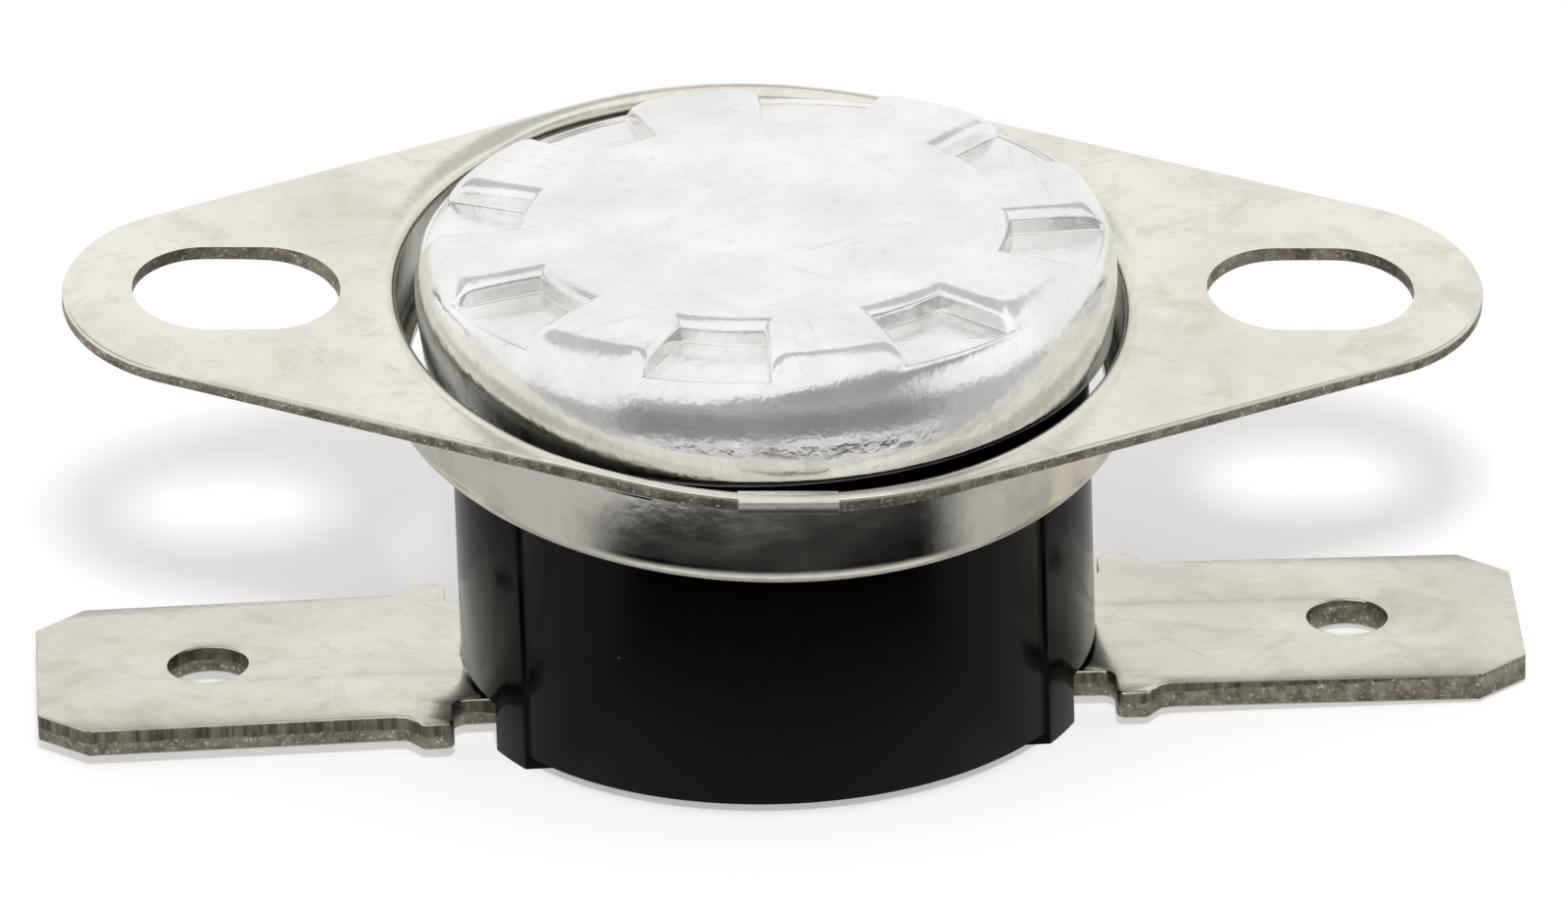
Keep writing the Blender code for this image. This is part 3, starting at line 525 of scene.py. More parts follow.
def aluminium():
    """Bright, soft aluminium: pale and mottled, finely scratched every way."""
    n = Nodes("bright_aluminium_finish").metal()
    cloud = n.noise(420.0, 5.0, 0.62)
    fine = n.noise(3000.0, 4.0, 0.65)
    tone = n.mix(n.ramp(cloud, 0.33, 0.66), (0.82, 0.82, 0.8), (0.97, 0.97, 0.96))
    tone = n.mix(n.ramp(fine, 0.56, 0.74, 0.0, 0.35), tone, (0.66, 0.66, 0.64))
    tone = n.mix(n.scratches((0.5, 1.7, -0.6), 0.25), tone, (0.55, 0.55, 0.54))
    n.colour(tone)
    n.rough(n.ramp(n.noise(800.0, 4.0, 0.6), 0.35, 0.7, 0.12, 0.24))
    height = n.times(fine, 0.6)
    for turn in (0.3, 1.35, 2.4):
        lines = n.noise(2600.0, 2.0, 0.5, n.scaled((0.1, 2.6, 1.0), (0.0, 0.0, turn)))
        height = n.math("ADD", height, n.times(lines, 0.22))
    dents = n.math("ADD", cloud, n.times(n.noise(1100.0, 3.0, 0.55), 0.5))
    n.normal(n.bump(height, 0.009 * MM, n.bump(dents, 0.035 * MM)))
    return n.material


def phenolic():
    """Black moulded thermoset: near black, smooth, with a faint flow line or two and dust."""
    n = Nodes("black_phenolic_finish")
    fine = n.noise(2400.0, 4.0, 0.6)
    speck = n.ramp(n.cells(900.0), 0.03, 0.05, 1.0, 0.0)
    rare = n.ramp(n.noise(330.0, 2.0), 0.62, 0.68)
    tone = n.mix(n.ramp(fine, 0.3, 0.7), (0.0008, 0.0008, 0.0008), (0.0016, 0.0015, 0.0014))
    tone = n.mix(n.times(speck, rare), tone, (0.35, 0.33, 0.28))
    n.colour(tone)
    n.rough(n.ramp(n.noise(500.0, 3.0), 0.3, 0.7, 0.13, 0.2))
    n.shader.inputs["Specular IOR Level"].default_value = 0.1
    streak = n.noise(1500.0, 3.0, 0.6, n.scaled((1.0, 1.0, 0.08)))
    n.normal(n.bump(n.math("ADD", fine, streak), 0.004 * MM))
    return n.material


def plain(name, light, dark, roughness, metallic):
    """Finish of the inner pieces, the tie-bar stub and the collar's lip: two tones, a little grain."""
    n = Nodes(name)
    n.shader.inputs["Metallic"].default_value = metallic
    n.shader.inputs["Roughness"].default_value = roughness
    grain = n.noise(2400.0, 4.0, 0.6)
    n.colour(n.mix(n.ramp(grain, 0.35, 0.65), dark, light))
    n.normal(n.bump(grain, 0.008 * MM))
    return n.material


# ---------------------------------------------------------------- the cup


def pocket_wall():
    """A pocket wall's section from its foot up: (distance from the foot, how deep it is pressed)."""
    lip = 1.0 - POCKET_SHEAR / POCKET_DEPTH
    points = [(0.0, 1.0), (0.3 * POCKET_DRAFT, 0.93), (0.8 * POCKET_DRAFT, lip + 0.05)]
    for i in range(15):
        turn = (6.0 + 84.0 * i / 14.0) * DEGREE
        run = POCKET_DRAFT + POCKET_ROLLOVER * (1.0 - math.cos(turn))
        points.append((run, lip * (1.0 - math.sin(turn))))
    return points


def oval(centre, across, up, start, end, steps):
    """Points along an ellipse's arc."""
    points = []
    for x, y in arc((0.0, 0.0), 1.0, start, end, steps):
        points.append((centre[0] + across * x, centre[1] + up * y))
    return points


def cup_rows():
    """The outer skin from the centre outward and down to its widest: (plain, pressed, inner press)."""
    floor = CAP_TOP - POCKET_DEPTH
    inner = POCKET_INNER_RADIUS
    wall = pocket_wall()
    land = inner - wall[-1][0]
    rows = [((land * 0.98 * i / 12.0, CAP_TOP), (land, floor), 0.0) for i in range(1, 13)]
    for run, pressed in reversed(wall):
        rows.append(((inner - run, CAP_TOP), (inner - run, floor), pressed))
    flat_end = CAP_RADIUS - CAP_SHOULDER
    for i in range(12):
        radius = inner + 0.02 * MM + (flat_end - inner - 0.06 * MM) * i / 11.0
        rows.append(((radius, CAP_TOP), (radius, floor), 1.0))
    rise = CAP_TOP - CAP_WIDEST
    plain_arc = oval((flat_end, CAP_WIDEST), CAP_SHOULDER, rise, 90.0, 0.0, 26)
    pressed_centre = (CAP_RADIUS - POCKET_EDGE, CAP_WIDEST)
    pressed_arc = oval(pressed_centre, POCKET_EDGE, rise - POCKET_DEPTH, 90.0, 0.0, 26)
    for i, (a, b) in enumerate(zip(plain_arc, pressed_arc)):
        rows.append((a, b, 1.0 - smoothstep((i - 3) / 14.0)))
    return rows


def cup_columns():
    """Columns round the cup: (pocket's centre angle, share of its half width, run, press, land share)."""
    cell = 2.0 * math.pi / POCKET_COUNT
    wall = [(1.0, run, pressed, 0.0) for run, pressed in pocket_wall()[1:]]
    floor = [(-1.0, 0.0, 1.0, 0.0)] + [(-0.985 + 1.97 * i / 14.0, 0.0, 1.0, 0.0) for i in range(15)]
    floor += [(1.0, 0.0, 1.0, 0.0)]
    land = [(1.0, wall[-1][1], 0.0, i / 13.0) for i in range(1, 13)]
    left = [(-share, run, pressed, 0.0) for share, run, pressed, _ in reversed(wall)]
    columns = []
    for k in range(POCKET_COUNT):
        middle = POCKET_PHASE - 0.5 * math.pi + k * cell
        columns += [(middle, *place) for place in left + floor + wall + land]
    return columns


def column_place(column, radius):
    """A column's angle and side press at a radius; the pocket widens outward."""
    middle, share, run, pressed, along = column
    cell = 2.0 * math.pi / POCKET_COUNT
    reach = max(radius, 0.8 * POCKET_INNER_RADIUS)
    half = POCKET_HALF_WIDTH + POCKET_FLARE * (reach - POCKET_INNER_RADIUS)
    outward = smoothstep((radius - POCKET_SPREAD_FROM) / (CAP_RADIUS - POCKET_SPREAD_FROM))
    run *= 1.0 + POCKET_SPREAD * outward
    angle = (share * half + math.copysign(run, share)) / reach
    return middle + angle + along * (cell - 2.0 * angle), pressed


def make_cup():
    """The pressed skin, the tucked side with its hem, the crimped lip and the plain inside."""
    columns = cup_columns()
    steps = len(columns)
    points = [(0.0, 0.0, CAP_TOP)]
    rings = []
    for plain_point, pressed_point, inner_press in cup_rows():
        rings.append(len(points))
        for column in columns:
            angle, side_press = column_place(column, plain_point[0])
            share = min(side_press, inner_press)
            r = plain_point[0] + share * (pressed_point[0] - plain_point[0])
            z = plain_point[1] + share * (pressed_point[1] - plain_point[1])
            points.append(polar(r, angle, z))
    tuck_centre = (CAP_RADIUS - CAP_TUCK, CAP_WIDEST)
    tail = oval(tuck_centre, CAP_TUCK, CAP_WIDEST - CAP_BOTTOM, 0.0, CAP_TUCK_END, 6)[1:]
    waist, hem = tail[-1], CAP_BOTTOM + CAP_HEM
    for i in range(1, 9):
        z = waist[1] + (hem - waist[1]) * i / 8.0
        tail.append((waist[0] - (waist[1] - z) * math.tan(CAP_SLOPE * DEGREE), z))
    tail += arc((tail[-1][0] - CAP_HEM, hem), CAP_HEM, -CAP_SLOPE, -90.0, 10)
    tail += [(CAP_LIP + CAP_LIP_ROUND, CAP_BOTTOM), (CAP_LIP, CAP_BOTTOM + CAP_LIP_ROUND)]
    tail += [(CAP_LIP, CAP_BOTTOM + CAP_WALL), (CAP_RADIUS - CAP_WALL, CAP_BOTTOM + CAP_WALL)]
    inner_top = CAP_TOP - POCKET_DEPTH - CAP_WALL
    tail += [(CAP_RADIUS - CAP_WALL, inner_top), (0.0, inner_top)]
    for r, z in tail[:-1]:
        rings.append(len(points))
        for column in columns:
            points.append(polar(r, column_place(column, CAP_RADIUS)[0], z))
    last = len(points)
    points.append((0.0, 0.0, tail[-1][1]))
    faces = []
    for k in range(steps):
        j = (k + 1) % steps
        faces.append((0, rings[0] + k, rings[0] + j))
        faces.append((last, rings[-1] + j, rings[-1] + k))
        for a, b in zip(rings, rings[1:]):
            faces.append((a + k, b + k, b + j, a + j))
    cup = mesh_object("cup", points, faces)
    cup.data.materials.append(aluminium())
    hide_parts("heat_cap")
    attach(cup, "base")


# ---------------------------------------------------------------- the bracket


def convex_outline(points):
    """The convex hull of flat points, counter-clockwise."""

    def turn(a, b, c):
        return (b[0] - a[0]) * (c[1] - a[1]) - (b[1] - a[1]) * (c[0] - a[0])

    def half(ordered):
        chain = []
        for point in ordered:
            while len(chain) > 1 and turn(chain[-2], chain[-1], point) <= 1e-14:
                chain.pop()
            chain.append(point)
        return chain[:-1]

    ordered = sorted(set(points))
    return half(ordered) + half(ordered[::-1])


def ray_hit(outline, angle):
    """Distance from the ring's centre to a convex outline, along an angle."""
    dx, dy = math.cos(angle), math.sin(angle)
    best = None
    for (ax, ay), (bx, by) in zip(outline, outline[1:] + outline[:1]):
        ex, ey = bx - ax, by - ay
        bottom = dx * ey - dy * ex
        if abs(bottom) < 1e-16:
            continue
        t = (ax * ey - ay * ex) / bottom
        s = (ax * dy - ay * dx) / bottom
        if t > 0.0 and -1e-9 <= s <= 1.0 + 1e-9:
            best = t if best is None else max(best, t)
    return best


def plate_outline():
    """The plate, blanked a little off the collar's axis, with a narrow edge kept behind the collar."""
    x, y = OUTLINE_SHIFT
    ear_x = EAR_X * math.cos(OUTLINE_TURN)
    ear_y = EAR_X * math.sin(OUTLINE_TURN)
    outline = circle((x - ear_x, y - ear_y), EAR_RADIUS, OUTLINE_STEPS)
    outline += circle((x, y), PLATE_RADIUS, OUTLINE_STEPS)
    outline += circle((0.0, 0.0), COLLAR_RADIUS + BACK_MARGIN, OUTLINE_STEPS)
    outline += circle((x + ear_x, y + ear_y), EAR_RADIUS, OUTLINE_STEPS)
    return convex_outline(outline)


def make_bracket():
    """Swept rings: underside, plate edge, top face, bend, collar inside, roll, lip and collar outside."""
    outline = plate_outline()
    bore = COLLAR_RADIUS - SHEET
    low = -COLLAR_DEPTH
    lip = COLLAR_RADIUS - COLLAR_ROLL
    angles = [2.0 * math.pi * k / BRACKET_STEPS for k in range(BRACKET_STEPS)]
    edges = [ray_hit(outline, angle) for angle in angles]
    widths = [min(BEND_WIDTH, 0.8 * (edge - bore)) for edge in edges]
    plated, cut_edge, scored_and_painted_shade, worn = range(4)
    points = []
    rings = []

    def ring(reaches, z, finish=plated):
        """A ring, with the finish of the strip from it to the next one."""
        rings.append((len(points), finish))
        points.extend(polar(reach, angle, z) for angle, reach in zip(angles, reaches))

    ring([0.5 * (COLLAR_RADIUS + edge) for edge in edges], -SHEET)
    for inset, z, finish in (
        (0.3, -SHEET, cut_edge),
        (0.0, -SHEET + 0.03 * MM, cut_edge),
        (0.0, -0.5 * SHEET, cut_edge),
        (0.0, -PLATE_EDGE, plated),
        (0.3, -0.02 * MM, plated),
        (1.0, 0.0, plated),
        (1.3, 0.0, plated),
    ):
        rounds = [min(PLATE_EDGE, 0.35 * (edge - bore - width)) for edge, width in zip(edges, widths)]
        ring([edge - inset * rounded for edge, rounded in zip(edges, rounds)], z, finish)
    ring([0.5 * (bore + width + edge) for edge, width in zip(edges, widths)], 0.0)
    for share, z in [(1.03, 1.0 - COLLAR_BEND)] + arc((1.0, -COLLAR_BEND), 1.0, 90.0, 180.0, 14):
        ring([bore + width * share for width in widths], COLLAR_BEND * (z + COLLAR_BEND - 1.0))
    roll = arc((lip, low + COLLAR_ROLL), COLLAR_ROLL - SHEET, 0.0, -84.0, 12)
    outside = arc((lip, low + COLLAR_ROLL), COLLAR_ROLL, -86.0, 0.0, 18)
    outside += [(COLLAR_RADIUS, -SHEET - 1.4 * UNDER_BEND), (COLLAR_RADIUS, -SHEET - UNDER_BEND)]
    # The roll's inside below its first ring takes the scored finish, darkened as painted shade in the gap
    strips = [(roll[:1], plated), (roll[1:], scored_and_painted_shade), ([(lip, low + SHEET - 0.04 * MM)], plated)]
    strips += [([(lip, low + 0.04 * MM)] + outside[:12], worn), (outside[12:], plated)]
    for places, finish in strips:
        for r, z in places:
            ring([r] * BRACKET_STEPS, z, finish)
    faces = []
    marks = []
    for (a, finish), (b, _) in zip(rings, rings[1:] + rings[:1]):
        for k in range(BRACKET_STEPS):
            j = (k + 1) % BRACKET_STEPS
            faces.append((a + k, a + j, b + j, b + k))
            marks.append(finish)
    bracket = mesh_object("bracket", points, faces)
    for face, mark in zip(bracket.data.polygons, marks):
        face.material_index = mark
    for material in (
        nickel("nickel_bracket_finish", *BRACKET_TONES),
        sheared("sheared_edge_finish"),
        # The roll's inside: scored finish with dark tones painted as shade in the gap
        drawn_wall_with_painted_shade("drawn_wall_painted_shade_finish"),
        plain("collar_lip_finish", (0.82, 0.79, 0.7), (0.62, 0.59, 0.5), 0.5, 0.3),
    ):
        bracket.data.materials.append(material)
    return bracket


def finish_bracket(bracket):
    """Cuts the slots and tilts the bracket into place."""
    radius = 0.5 * SLOT_WIDTH
    reach = 0.5 * SLOT_LENGTH - radius
    for side in (-1, 1):
        x, y = OUTLINE_SHIFT[0] + side * SLOT_X, OUTLINE_SHIFT[1]
        outline = arc((x + reach, y), radius, -90.0, 90.0, 40)
        outline += arc((x - reach, y), radius, 90.0, 270.0, 40)
        tool = prism("slot_tool", outline, -SHEET - CUT_MARGIN, CUT_MARGIN)
        tool.data.materials.append(bpy.data.materials["nickel_bracket_finish"])
        tool.data.materials.append(bpy.data.materials["sheared_edge_finish"])
        for face in tool.data.polygons:
            face.material_index = 1
        cut(bracket, tool)
    shade(bracket, BRACKET_SHARP)
    bracket.data.transform(bracket_place())
    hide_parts("mounting_bracket")
    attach(bracket, "bracket")


def bracket_place():
    """From the bracket's own frame, flat round its collar's axis, to where it lies tilted."""
    turn = Matrix.Rotation(RING_TILT[2], 4, "Z") @ Matrix.Rotation(RING_TILT[1], 4, "Y")
    return Matrix.Translation(Vector(RING_CENTRE)) @ (turn @ Matrix.Rotation(RING_TILT[0], 4, "X"))


def make_tie_tab():
    """The stub of the strip that carried the bracket through its press."""
    half = 0.5 * TIE_TAB_WIDTH
    middle = OUTLINE_SHIFT[0] + TIE_TAB_X
    front = OUTLINE_SHIFT[1] - PLATE_RADIUS - TIE_TAB_PROUD
    outline = [
        (middle - half, front),
        (middle + half, front),
        (middle + half, -COLLAR_RADIUS + 0.5 * SHEET),
        (middle - half, -COLLAR_RADIUS + 0.5 * SHEET),
    ]
    stub = prism("tie_bar_stub", outline, -0.96 * SHEET, -0.04 * SHEET)
    soften(stub, STUB_EDGE, STUB_SHARP)
    stub.data.transform(bracket_place())
    stub.data.materials.append(plain("cut_stub_finish", (0.9, 0.87, 0.79), (0.72, 0.69, 0.61), 0.3, 1.0))
    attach(stub, "bracket")


# ---------------------------------------------------------------- the base


def channel_outline(side):
    """One tab's channel under the base, with a rounded mouth."""
    mouth = WING_RADIUS
    half = CHANNEL_HALF_WIDTH
    centre_y = half + CHANNEL_CORNER
    centre_x = math.sqrt((mouth - CHANNEL_CORNER) ** 2 - centre_y**2)
    tangent = math.degrees(math.atan2(centre_y, centre_x))
    flank = arc((centre_x, centre_y), CHANNEL_CORNER, -90.0, 0.8 * tangent - 18.0, 8)
    last, before = flank[-1], flank[-2]
    run = (last[0] - before[0], last[1] - before[1])
    stretch = 2.0 * MM / math.hypot(*run)
    flank.append((last[0] + run[0] * stretch, last[1] + run[1] * stretch))
    flank.append((mouth + CUT_MARGIN, flank[-1][1]))
    upper = [(CHANNEL_INNER_X, half)] + flank
    lower = [(x, -y) for x, y in reversed(upper)]
    return [(side * x, y) for x, y in upper + lower][::side]


def make_base():
    """The turned body with its two foot blocks, less the cavity and the tabs' channels."""
    profile = [
        (0.0, CAVITY_FLOOR),
        (CAVITY_RADIUS, CAVITY_FLOOR),
        (CAVITY_RADIUS, FLANGE_TOP),
        (FLANGE_RADIUS, FLANGE_TOP),
        (FLANGE_RADIUS, NECK_TOP),
        (BODY_RADIUS, NECK_TOP),
        (BODY_RADIUS, FOOT_HEIGHT),
        (0.0, FOOT_HEIGHT),
    ]
    base = turned("base", profile, BASE_STEPS)
    profile = [(0.0, WING_TOP), (WING_RADIUS, WING_TOP), (WING_RADIUS, 0.0), (0.0, 0.0)]
    wings = turned("wings", profile, BASE_STEPS)
    reach, half = WING_RADIUS + CUT_MARGIN, WING_HALF_WIDTH
    outline = [(-reach, -half), (reach, -half), (reach, half), (-reach, half)]
    cut(wings, prism("slab", outline, -CUT_MARGIN, WING_TOP + CUT_MARGIN), "INTERSECT")
    middle, above = 0.5 * (CHANNEL_CEILING + CAVITY_FLOOR), WING_TOP + CUT_MARGIN
    profile = [(0.0, above), (CORE_RADIUS, above), (CORE_RADIUS, middle), (0.0, middle)]
    cut(wings, turned("core", profile, BASE_STEPS))
    cut(base, wings, "UNION")
    for side in (-1, 1):
        cut(base, prism("channel", channel_outline(side), -CUT_MARGIN, CHANNEL_CEILING))
    soften(base, BASE_EDGE, BASE_SHARP)
    base.data.materials.clear()
    base.data.materials.append(phenolic())
    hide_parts("base_housing")
    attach(base, "base")


# ---------------------------------------------------------------- the tabs


def tab_outline():
    """Half a tab's outline, from the neck's inner end to the tip."""
    half = 0.5 * TAB_WIDTH
    shoulder = half + SHOULDER_PROUD
    inner = SHOULDER_X - SHOULDER_LENGTH
    top = shoulder - SHOULDER_ROUND
    upper = [(TAB_INNER_X, NECK_HALF_WIDTH)]
    upper += arc((inner - NECK_ROUND, NECK_HALF_WIDTH + NECK_ROUND), NECK_ROUND, -90.0, 0.0, 8)
    upper += arc((inner + SHOULDER_ROUND, top), SHOULDER_ROUND, 180.0, 90.0, 8)
    upper += arc((SHOULDER_X - SHOULDER_ROUND, top), SHOULDER_ROUND, 90.0, 20.0, 6)
    upper += [(SHOULDER_X + SHOULDER_ROUND, half + 0.1 * SHOULDER_PROUD)]
    upper += [(SHOULDER_X + SHOULDER_PROUD, half)]
    upper += [(TAB_TIP_X - TAB_CHAMFER_LENGTH, half)]
    upper += [(TAB_TIP_X, half - TAB_CHAMFER_WIDTH)]
    return upper


def make_tab(side, name):
    """A tab with its hole and rivet hole, modelled round its bend, then drooped and set in place."""
    upper = tab_outline()
    outline = upper + [(x, -y) for x, y in reversed(upper)]
    outline = [(side * (x - TAB_BEND_X), y) for x, y in outline][::-side]
    tab = prism("tab_" + name, outline, -TAB_THICKNESS, 0.0)
    for x, radius in ((TAB_HOLE_X, TAB_HOLE_RADIUS), (RIVET_X, RIVET_HOLE)):
        hole = circle((side * (x - TAB_BEND_X), 0.0), radius, HOLE_STEPS)
        cut(tab, prism("hole", hole, -TAB_THICKNESS - CUT_MARGIN, CUT_MARGIN))
    soften(tab, TAB_EDGE, TAB_SHARP)
    tab.data.materials.clear()
    tab.data.materials.append(nickel("nickel_tab_finish_" + name, *TAB_TONES))
    tab.data.materials.append(sheared("sheared_tab_finish_" + name, TAB_TOP - 0.5 * TAB_THICKNESS))
    for face in tab.data.polygons:
        face.material_index = 1 if abs(face.normal.z) < 0.35 else 0
    place = Matrix.Translation((side * TAB_BEND_X, 0.0, TAB_TOP))
    tab.data.transform(place @ Matrix.Rotation(side * TAB_DROOP[name], 4, "Y"))
    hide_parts("terminal_" + name)
    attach(tab, "base")


# ---------------------------------------------------------------- inner pieces


def dress_inner(frame):
    """Gives the CAD model's own inner pieces a finish and smooth shading."""
    finishes = {
        "bimetal_disc": plain("bimetal_finish", (0.55, 0.5, 0.43), (0.42, 0.38, 0.32), 0.32, 1.0),
        "pin_guide": plain("cream_ceramic_finish", (0.72, 0.68, 0.58), (0.66, 0.61, 0.5), 0.55, 0.0),
        "push_pin": plain("white_ceramic_finish", (0.84, 0.82, 0.77), (0.78, 0.76, 0.7), 0.45, 0.0),
        "contact_leaf": plain("copper_leaf_finish", (0.78, 0.5, 0.3), (0.68, 0.42, 0.24), 0.28, 1.0),
        "fixed_contact_plate": plain("brass_plate_finish", (0.8, 0.62, 0.32), (0.72, 0.54, 0.26), 0.28, 1.0),
        "moving_contact": plain("silver_finish_moving", (0.84, 0.83, 0.8), (0.74, 0.73, 0.7), 0.22, 1.0),
        "fixed_contact": plain("silver_finish_fixed", (0.84, 0.83, 0.8), (0.74, 0.73, 0.7), 0.22, 1.0),
        "rivet_left": plain("rivet_finish_left", (0.66, 0.61, 0.52), (0.52, 0.48, 0.4), 0.32, 1.0),
        "rivet_right": plain("rivet_finish_right", (0.66, 0.61, 0.52), (0.52, 0.48, 0.4), 0.32, 1.0),
    }
    for name, finish in finishes.items():
        node = frame["nodes"][name]
        node.data.materials.clear()
        node.data.materials.append(finish)
        weld = node.modifiers.new("Weld", "WELD")
        weld.merge_threshold = INNER_WELD
        shade(node, INNER_SHARP)


# ---------------------------------------------------------------- camera, floor and light


def make_camera():
    """A camera that looks at the aim, placed so that the aim falls on its pixel of the photograph."""
    level = math.cos(ELEVATION)
    right = Vector((math.cos(AZIMUTH), math.sin(AZIMUTH), 0.0))
    ahead = Vector((-math.sin(AZIMUTH) * level, math.cos(AZIMUTH) * level, -math.sin(ELEVATION)))
    up = right.cross(ahead)
    side = right * math.cos(ROLL) + up * math.sin(ROLL)
    top = up * math.cos(ROLL) - right * math.sin(ROLL)
    place = Vector(AIM) - ahead * DISTANCE
    per_mm = 1.0 / PIXELS_PER_MM
    place += side * (0.5 * IMAGE_SIZE[0] - AIM_PIXEL[0]) * per_mm * MM
    place -= top * (0.5 * IMAGE_SIZE[1] - AIM_PIXEL[1]) * per_mm * MM
    data = bpy.data.cameras.new("camera")
    data.sensor_width = SENSOR_WIDTH
    data.lens = PIXELS_PER_MM * DISTANCE / MM * SENSOR_WIDTH / IMAGE_SIZE[0]
    data.clip_start = 0.01
    data.clip_end = 10.0
    camera = link(bpy.data.objects.new("camera", data))
    back = -ahead
    camera.matrix_world = Matrix(
        (
            (side.x, top.x, back.x, place.x),
            (side.y, top.y, back.y, place.y),
            (side.z, top.z, back.z, place.z),
            (0.0, 0.0, 0.0, 1.0),
        )
    )
    bpy.context.scene.camera = camera


class Plan(Tree):
    """Node helpers for the world and the floor."""

    def __init__(self, tree):
        super().__init__(tree)
        tree.nodes.clear()
        self.path = self.add("ShaderNodeLightPath").outputs

    def soft(self, value, span):
        """From 0 to 1 across a span."""
        return self.ramp(value, *span, shape="SMOOTHSTEP")

    def fade(self, value, span):
        """From 1 to 0 across a span."""
        return self.ramp(value, *span, 1.0, 0.0, shape="SMOOTHSTEP")

    def mix(self, amount, a, b):
        made = self.add("ShaderNodeMixShader")
        self.join(amount, made.inputs["Fac"])
        self.join(a, made.inputs[1])
        self.join(b, made.inputs[2])
        return made.outputs[0]

    def blend(self, amount, a, b):
        """From a to b as amount goes from 0 to 1."""
        spread = self.math("SUBTRACT", b, a)
        return self.math("ADD", a, self.times(amount, spread))

    def compass(self, split):
        """How far forward and to the right a place or direction is, and its distance from the axis."""
        x, y = split["X"], split["Y"]
        flat = self.math("ADD", self.times(x, x), self.times(y, y))
        reach = self.math("POWER", self.math("ADD", flat, 1e-12), 0.5)
        forward = self.times(self.math("DIVIDE", y, reach), -1.0)
        return forward, self.math("DIVIDE", x, reach), reach


def room_glow(plan, split):
    """What metal mirrors above the floor: white, dimmer high at the back and sides and low in front."""
    forward, right, _ = plan.compass(split)
    up = split["Z"]
    height = plan.math("MAXIMUM", up, 0.0)
    level = plan.blend(plan.fade(forward, ROOM_BACK_SPAN), ROOM_WHITE, ROOM_BACK)
    sideways = plan.times(plan.math("ABSOLUTE", right), ROOM_HIGH_SIDEWAYS)
    high = plan.soft(plan.math("ADD", up, sideways), ROOM_HIGH_SPAN)
    high = plan.times(high, plan.fade(up, ROOM_ZENITH_SPAN))
    high = plan.times(high, plan.fade(forward, ROOM_HIGH_FORWARD_SPAN))
    level = plan.blend(high, level, ROOM_HIGH)
    left_edge = plan.math("ADD", plan.times(height, ROOM_LOW_LEFT_LEAN), ROOM_LOW_LEFT)
    right_edge = plan.math("ADD", height, ROOM_LOW_RIGHT)
    low = plan.times(
        plan.soft(plan.math("SUBTRACT", right, left_edge), ROOM_LOW_LEFT_SPAN),
        plan.soft(plan.math("SUBTRACT", right_edge, right), ROOM_LOW_RIGHT_SPAN),
    )
    low = plan.times(low, plan.soft(forward, ROOM_LOW_FORWARD_SPAN))
    low = plan.times(low, plan.fade(up, ROOM_LOW_SPAN))
    return plan.blend(low, level, ROOM_FRONT_LOW)


def floor_glow(plan, split):
    """What metal mirrors of the floor: pale at the sides; in front pale, dark, a bright ring, then grey."""
    forward, _, reach = plan.compass(split)
    side = plan.ramp(reach, *FLOOR_SIDE_SPAN, FLOOR_SIDE_NEAR, FLOOR_SIDE_FAR, "SMOOTHSTEP")
    front = plan.ramp(reach, *FLOOR_BODY_SPAN, FLOOR_FRONT_BODY, FLOOR_FRONT_DARK, "SMOOTHSTEP")
    for span, level in (
        (FLOOR_RING_SPAN, FLOOR_FRONT_RING),
        (FLOOR_MIDDLE_SPAN, FLOOR_FRONT_MIDDLE),
        (FLOOR_FAR_SPAN, FLOOR_FRONT_FAR),
    ):
        front = plan.blend(plan.soft(reach, span), front, level)
    return plan.blend(plan.soft(forward, FLOOR_FRONT_SPAN), side, front)


def make_world():
    """An even light; the camera sees white, and metal the room's levels."""
    world = bpy.data.worlds.new("studio")
    bpy.context.scene.world = world
    world.use_nodes = True
    plan = Plan(world.node_tree)
    where = plan.add("ShaderNodeTexCoord")
    split = plan.add("ShaderNodeSeparateXYZ")
    plan.join(where.outputs["Generated"], split.inputs[0])
    room = plan.add("ShaderNodeBackground")
    room.inputs["Strength"].default_value = ROOM_LEVEL
    shown = plan.add("ShaderNodeBackground")
    plan.join(room_glow(plan, split.outputs), shown.inputs["Strength"])
    white = plan.add("ShaderNodeBackground")
    for background in (shown, white, room):
        background.inputs["Color"].default_value = (1.0, 1.0, 1.0, 1.0)
    seen = plan.math("MAXIMUM", plan.path["Is Camera Ray"], plan.path["Is Transmission Ray"])
    light = plan.mix(plan.path["Is Glossy Ray"], room.outputs[0], shown.outputs[0])
    out = plan.add("ShaderNodeOutputWorld")
    plan.join(plan.mix(seen, light, white.outputs[0]), out.inputs["Surface"])


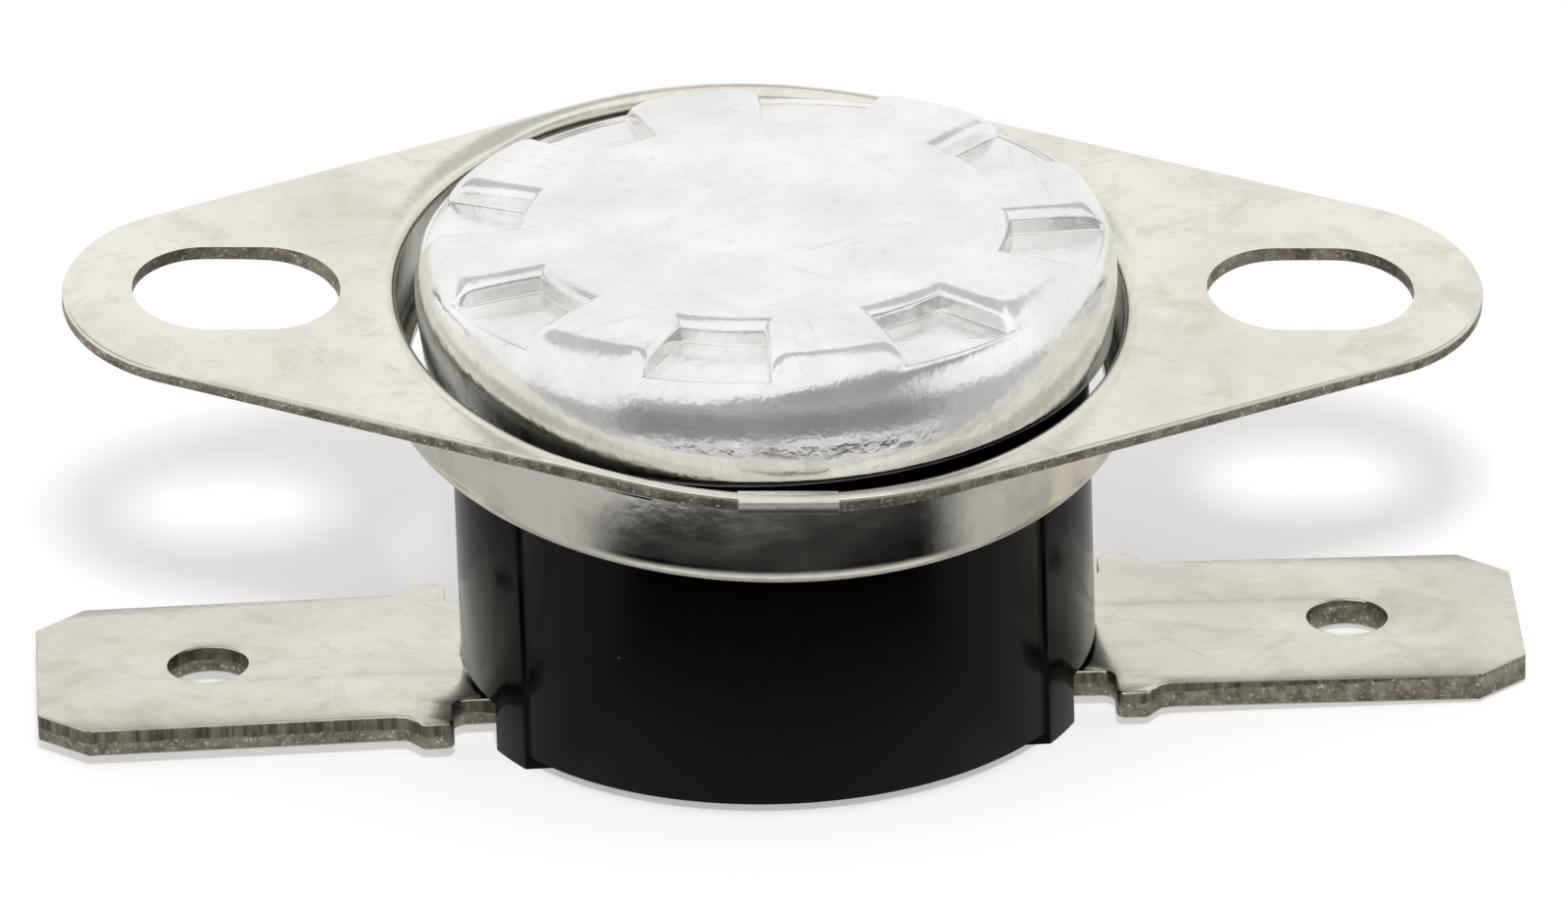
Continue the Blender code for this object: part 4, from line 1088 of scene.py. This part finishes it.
def make_floor():
    """Pale paper that keeps the shadow, lifted to white for the camera; metal sees the floor's levels."""
    size = FLOOR_SIZE
    floor = mesh_object(
        "floor",
        [(-size, -size, 0.0), (size, -size, 0.0), (size, size, 0.0), (-size, size, 0.0)],
        [(0, 1, 2, 3)],
        smooth=False,
    )
    floor.location.z = -FLOOR_DROP
    material = bpy.data.materials.new("floor_finish")
    material.use_nodes = True
    plan = Plan(material.node_tree)
    place = plan.add("ShaderNodeNewGeometry")
    split = plan.add("ShaderNodeSeparateXYZ")
    plan.join(place.outputs["Position"], split.inputs[0])
    paper = plan.add("ShaderNodeBsdfDiffuse")
    paper.inputs["Color"].default_value = (PAPER, PAPER, PAPER, 1.0)
    lift = plan.add("ShaderNodeEmission")
    seen = plan.math("MAXIMUM", plan.path["Is Camera Ray"], plan.path["Is Transmission Ray"])
    plan.join(plan.times(seen, PAPER_LIFT), lift.inputs["Strength"])
    both = plan.add("ShaderNodeAddShader")
    plan.join(paper.outputs[0], both.inputs[0])
    plan.join(lift.outputs[0], both.inputs[1])
    shown = plan.add("ShaderNodeEmission")
    plan.join(floor_glow(plan, split.outputs), shown.inputs["Strength"])
    out = plan.add("ShaderNodeOutputMaterial")
    plan.join(plan.mix(plan.path["Is Glossy Ray"], both.outputs[0], shown.outputs[0]), out.inputs["Surface"])
    floor.data.materials.append(material)


def make_light():
    """One soft lamp, in front and above, for the shadow; metal doesn't mirror it."""
    data = bpy.data.lights.new("key", "AREA")
    data.shape = "RECTANGLE"
    data.size, data.size_y = KEY_SIZE
    data.energy = KEY_POWER
    key = link(bpy.data.objects.new("key", data))
    key.location = KEY_PLACE
    key.rotation_euler = (Vector(KEY_TARGET) - Vector(KEY_PLACE)).to_track_quat("-Z", "Y").to_euler()
    key.visible_glossy = False


# ---------------------------------------------------------------- main


def main():
    for old in list(bpy.data.objects):
        bpy.data.objects.remove(old, do_unlink=True)
    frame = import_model()
    bpy.context.scene.view_settings.view_transform = "Standard"
    make_cup()
    bracket = make_bracket()
    finish_bracket(bracket)
    make_tie_tab()
    make_base()
    for side, name in ((-1, "left"), (1, "right")):
        make_tab(side, name)
    dress_inner(frame)
    make_camera()
    make_world()
    make_floor()
    make_light()


main()
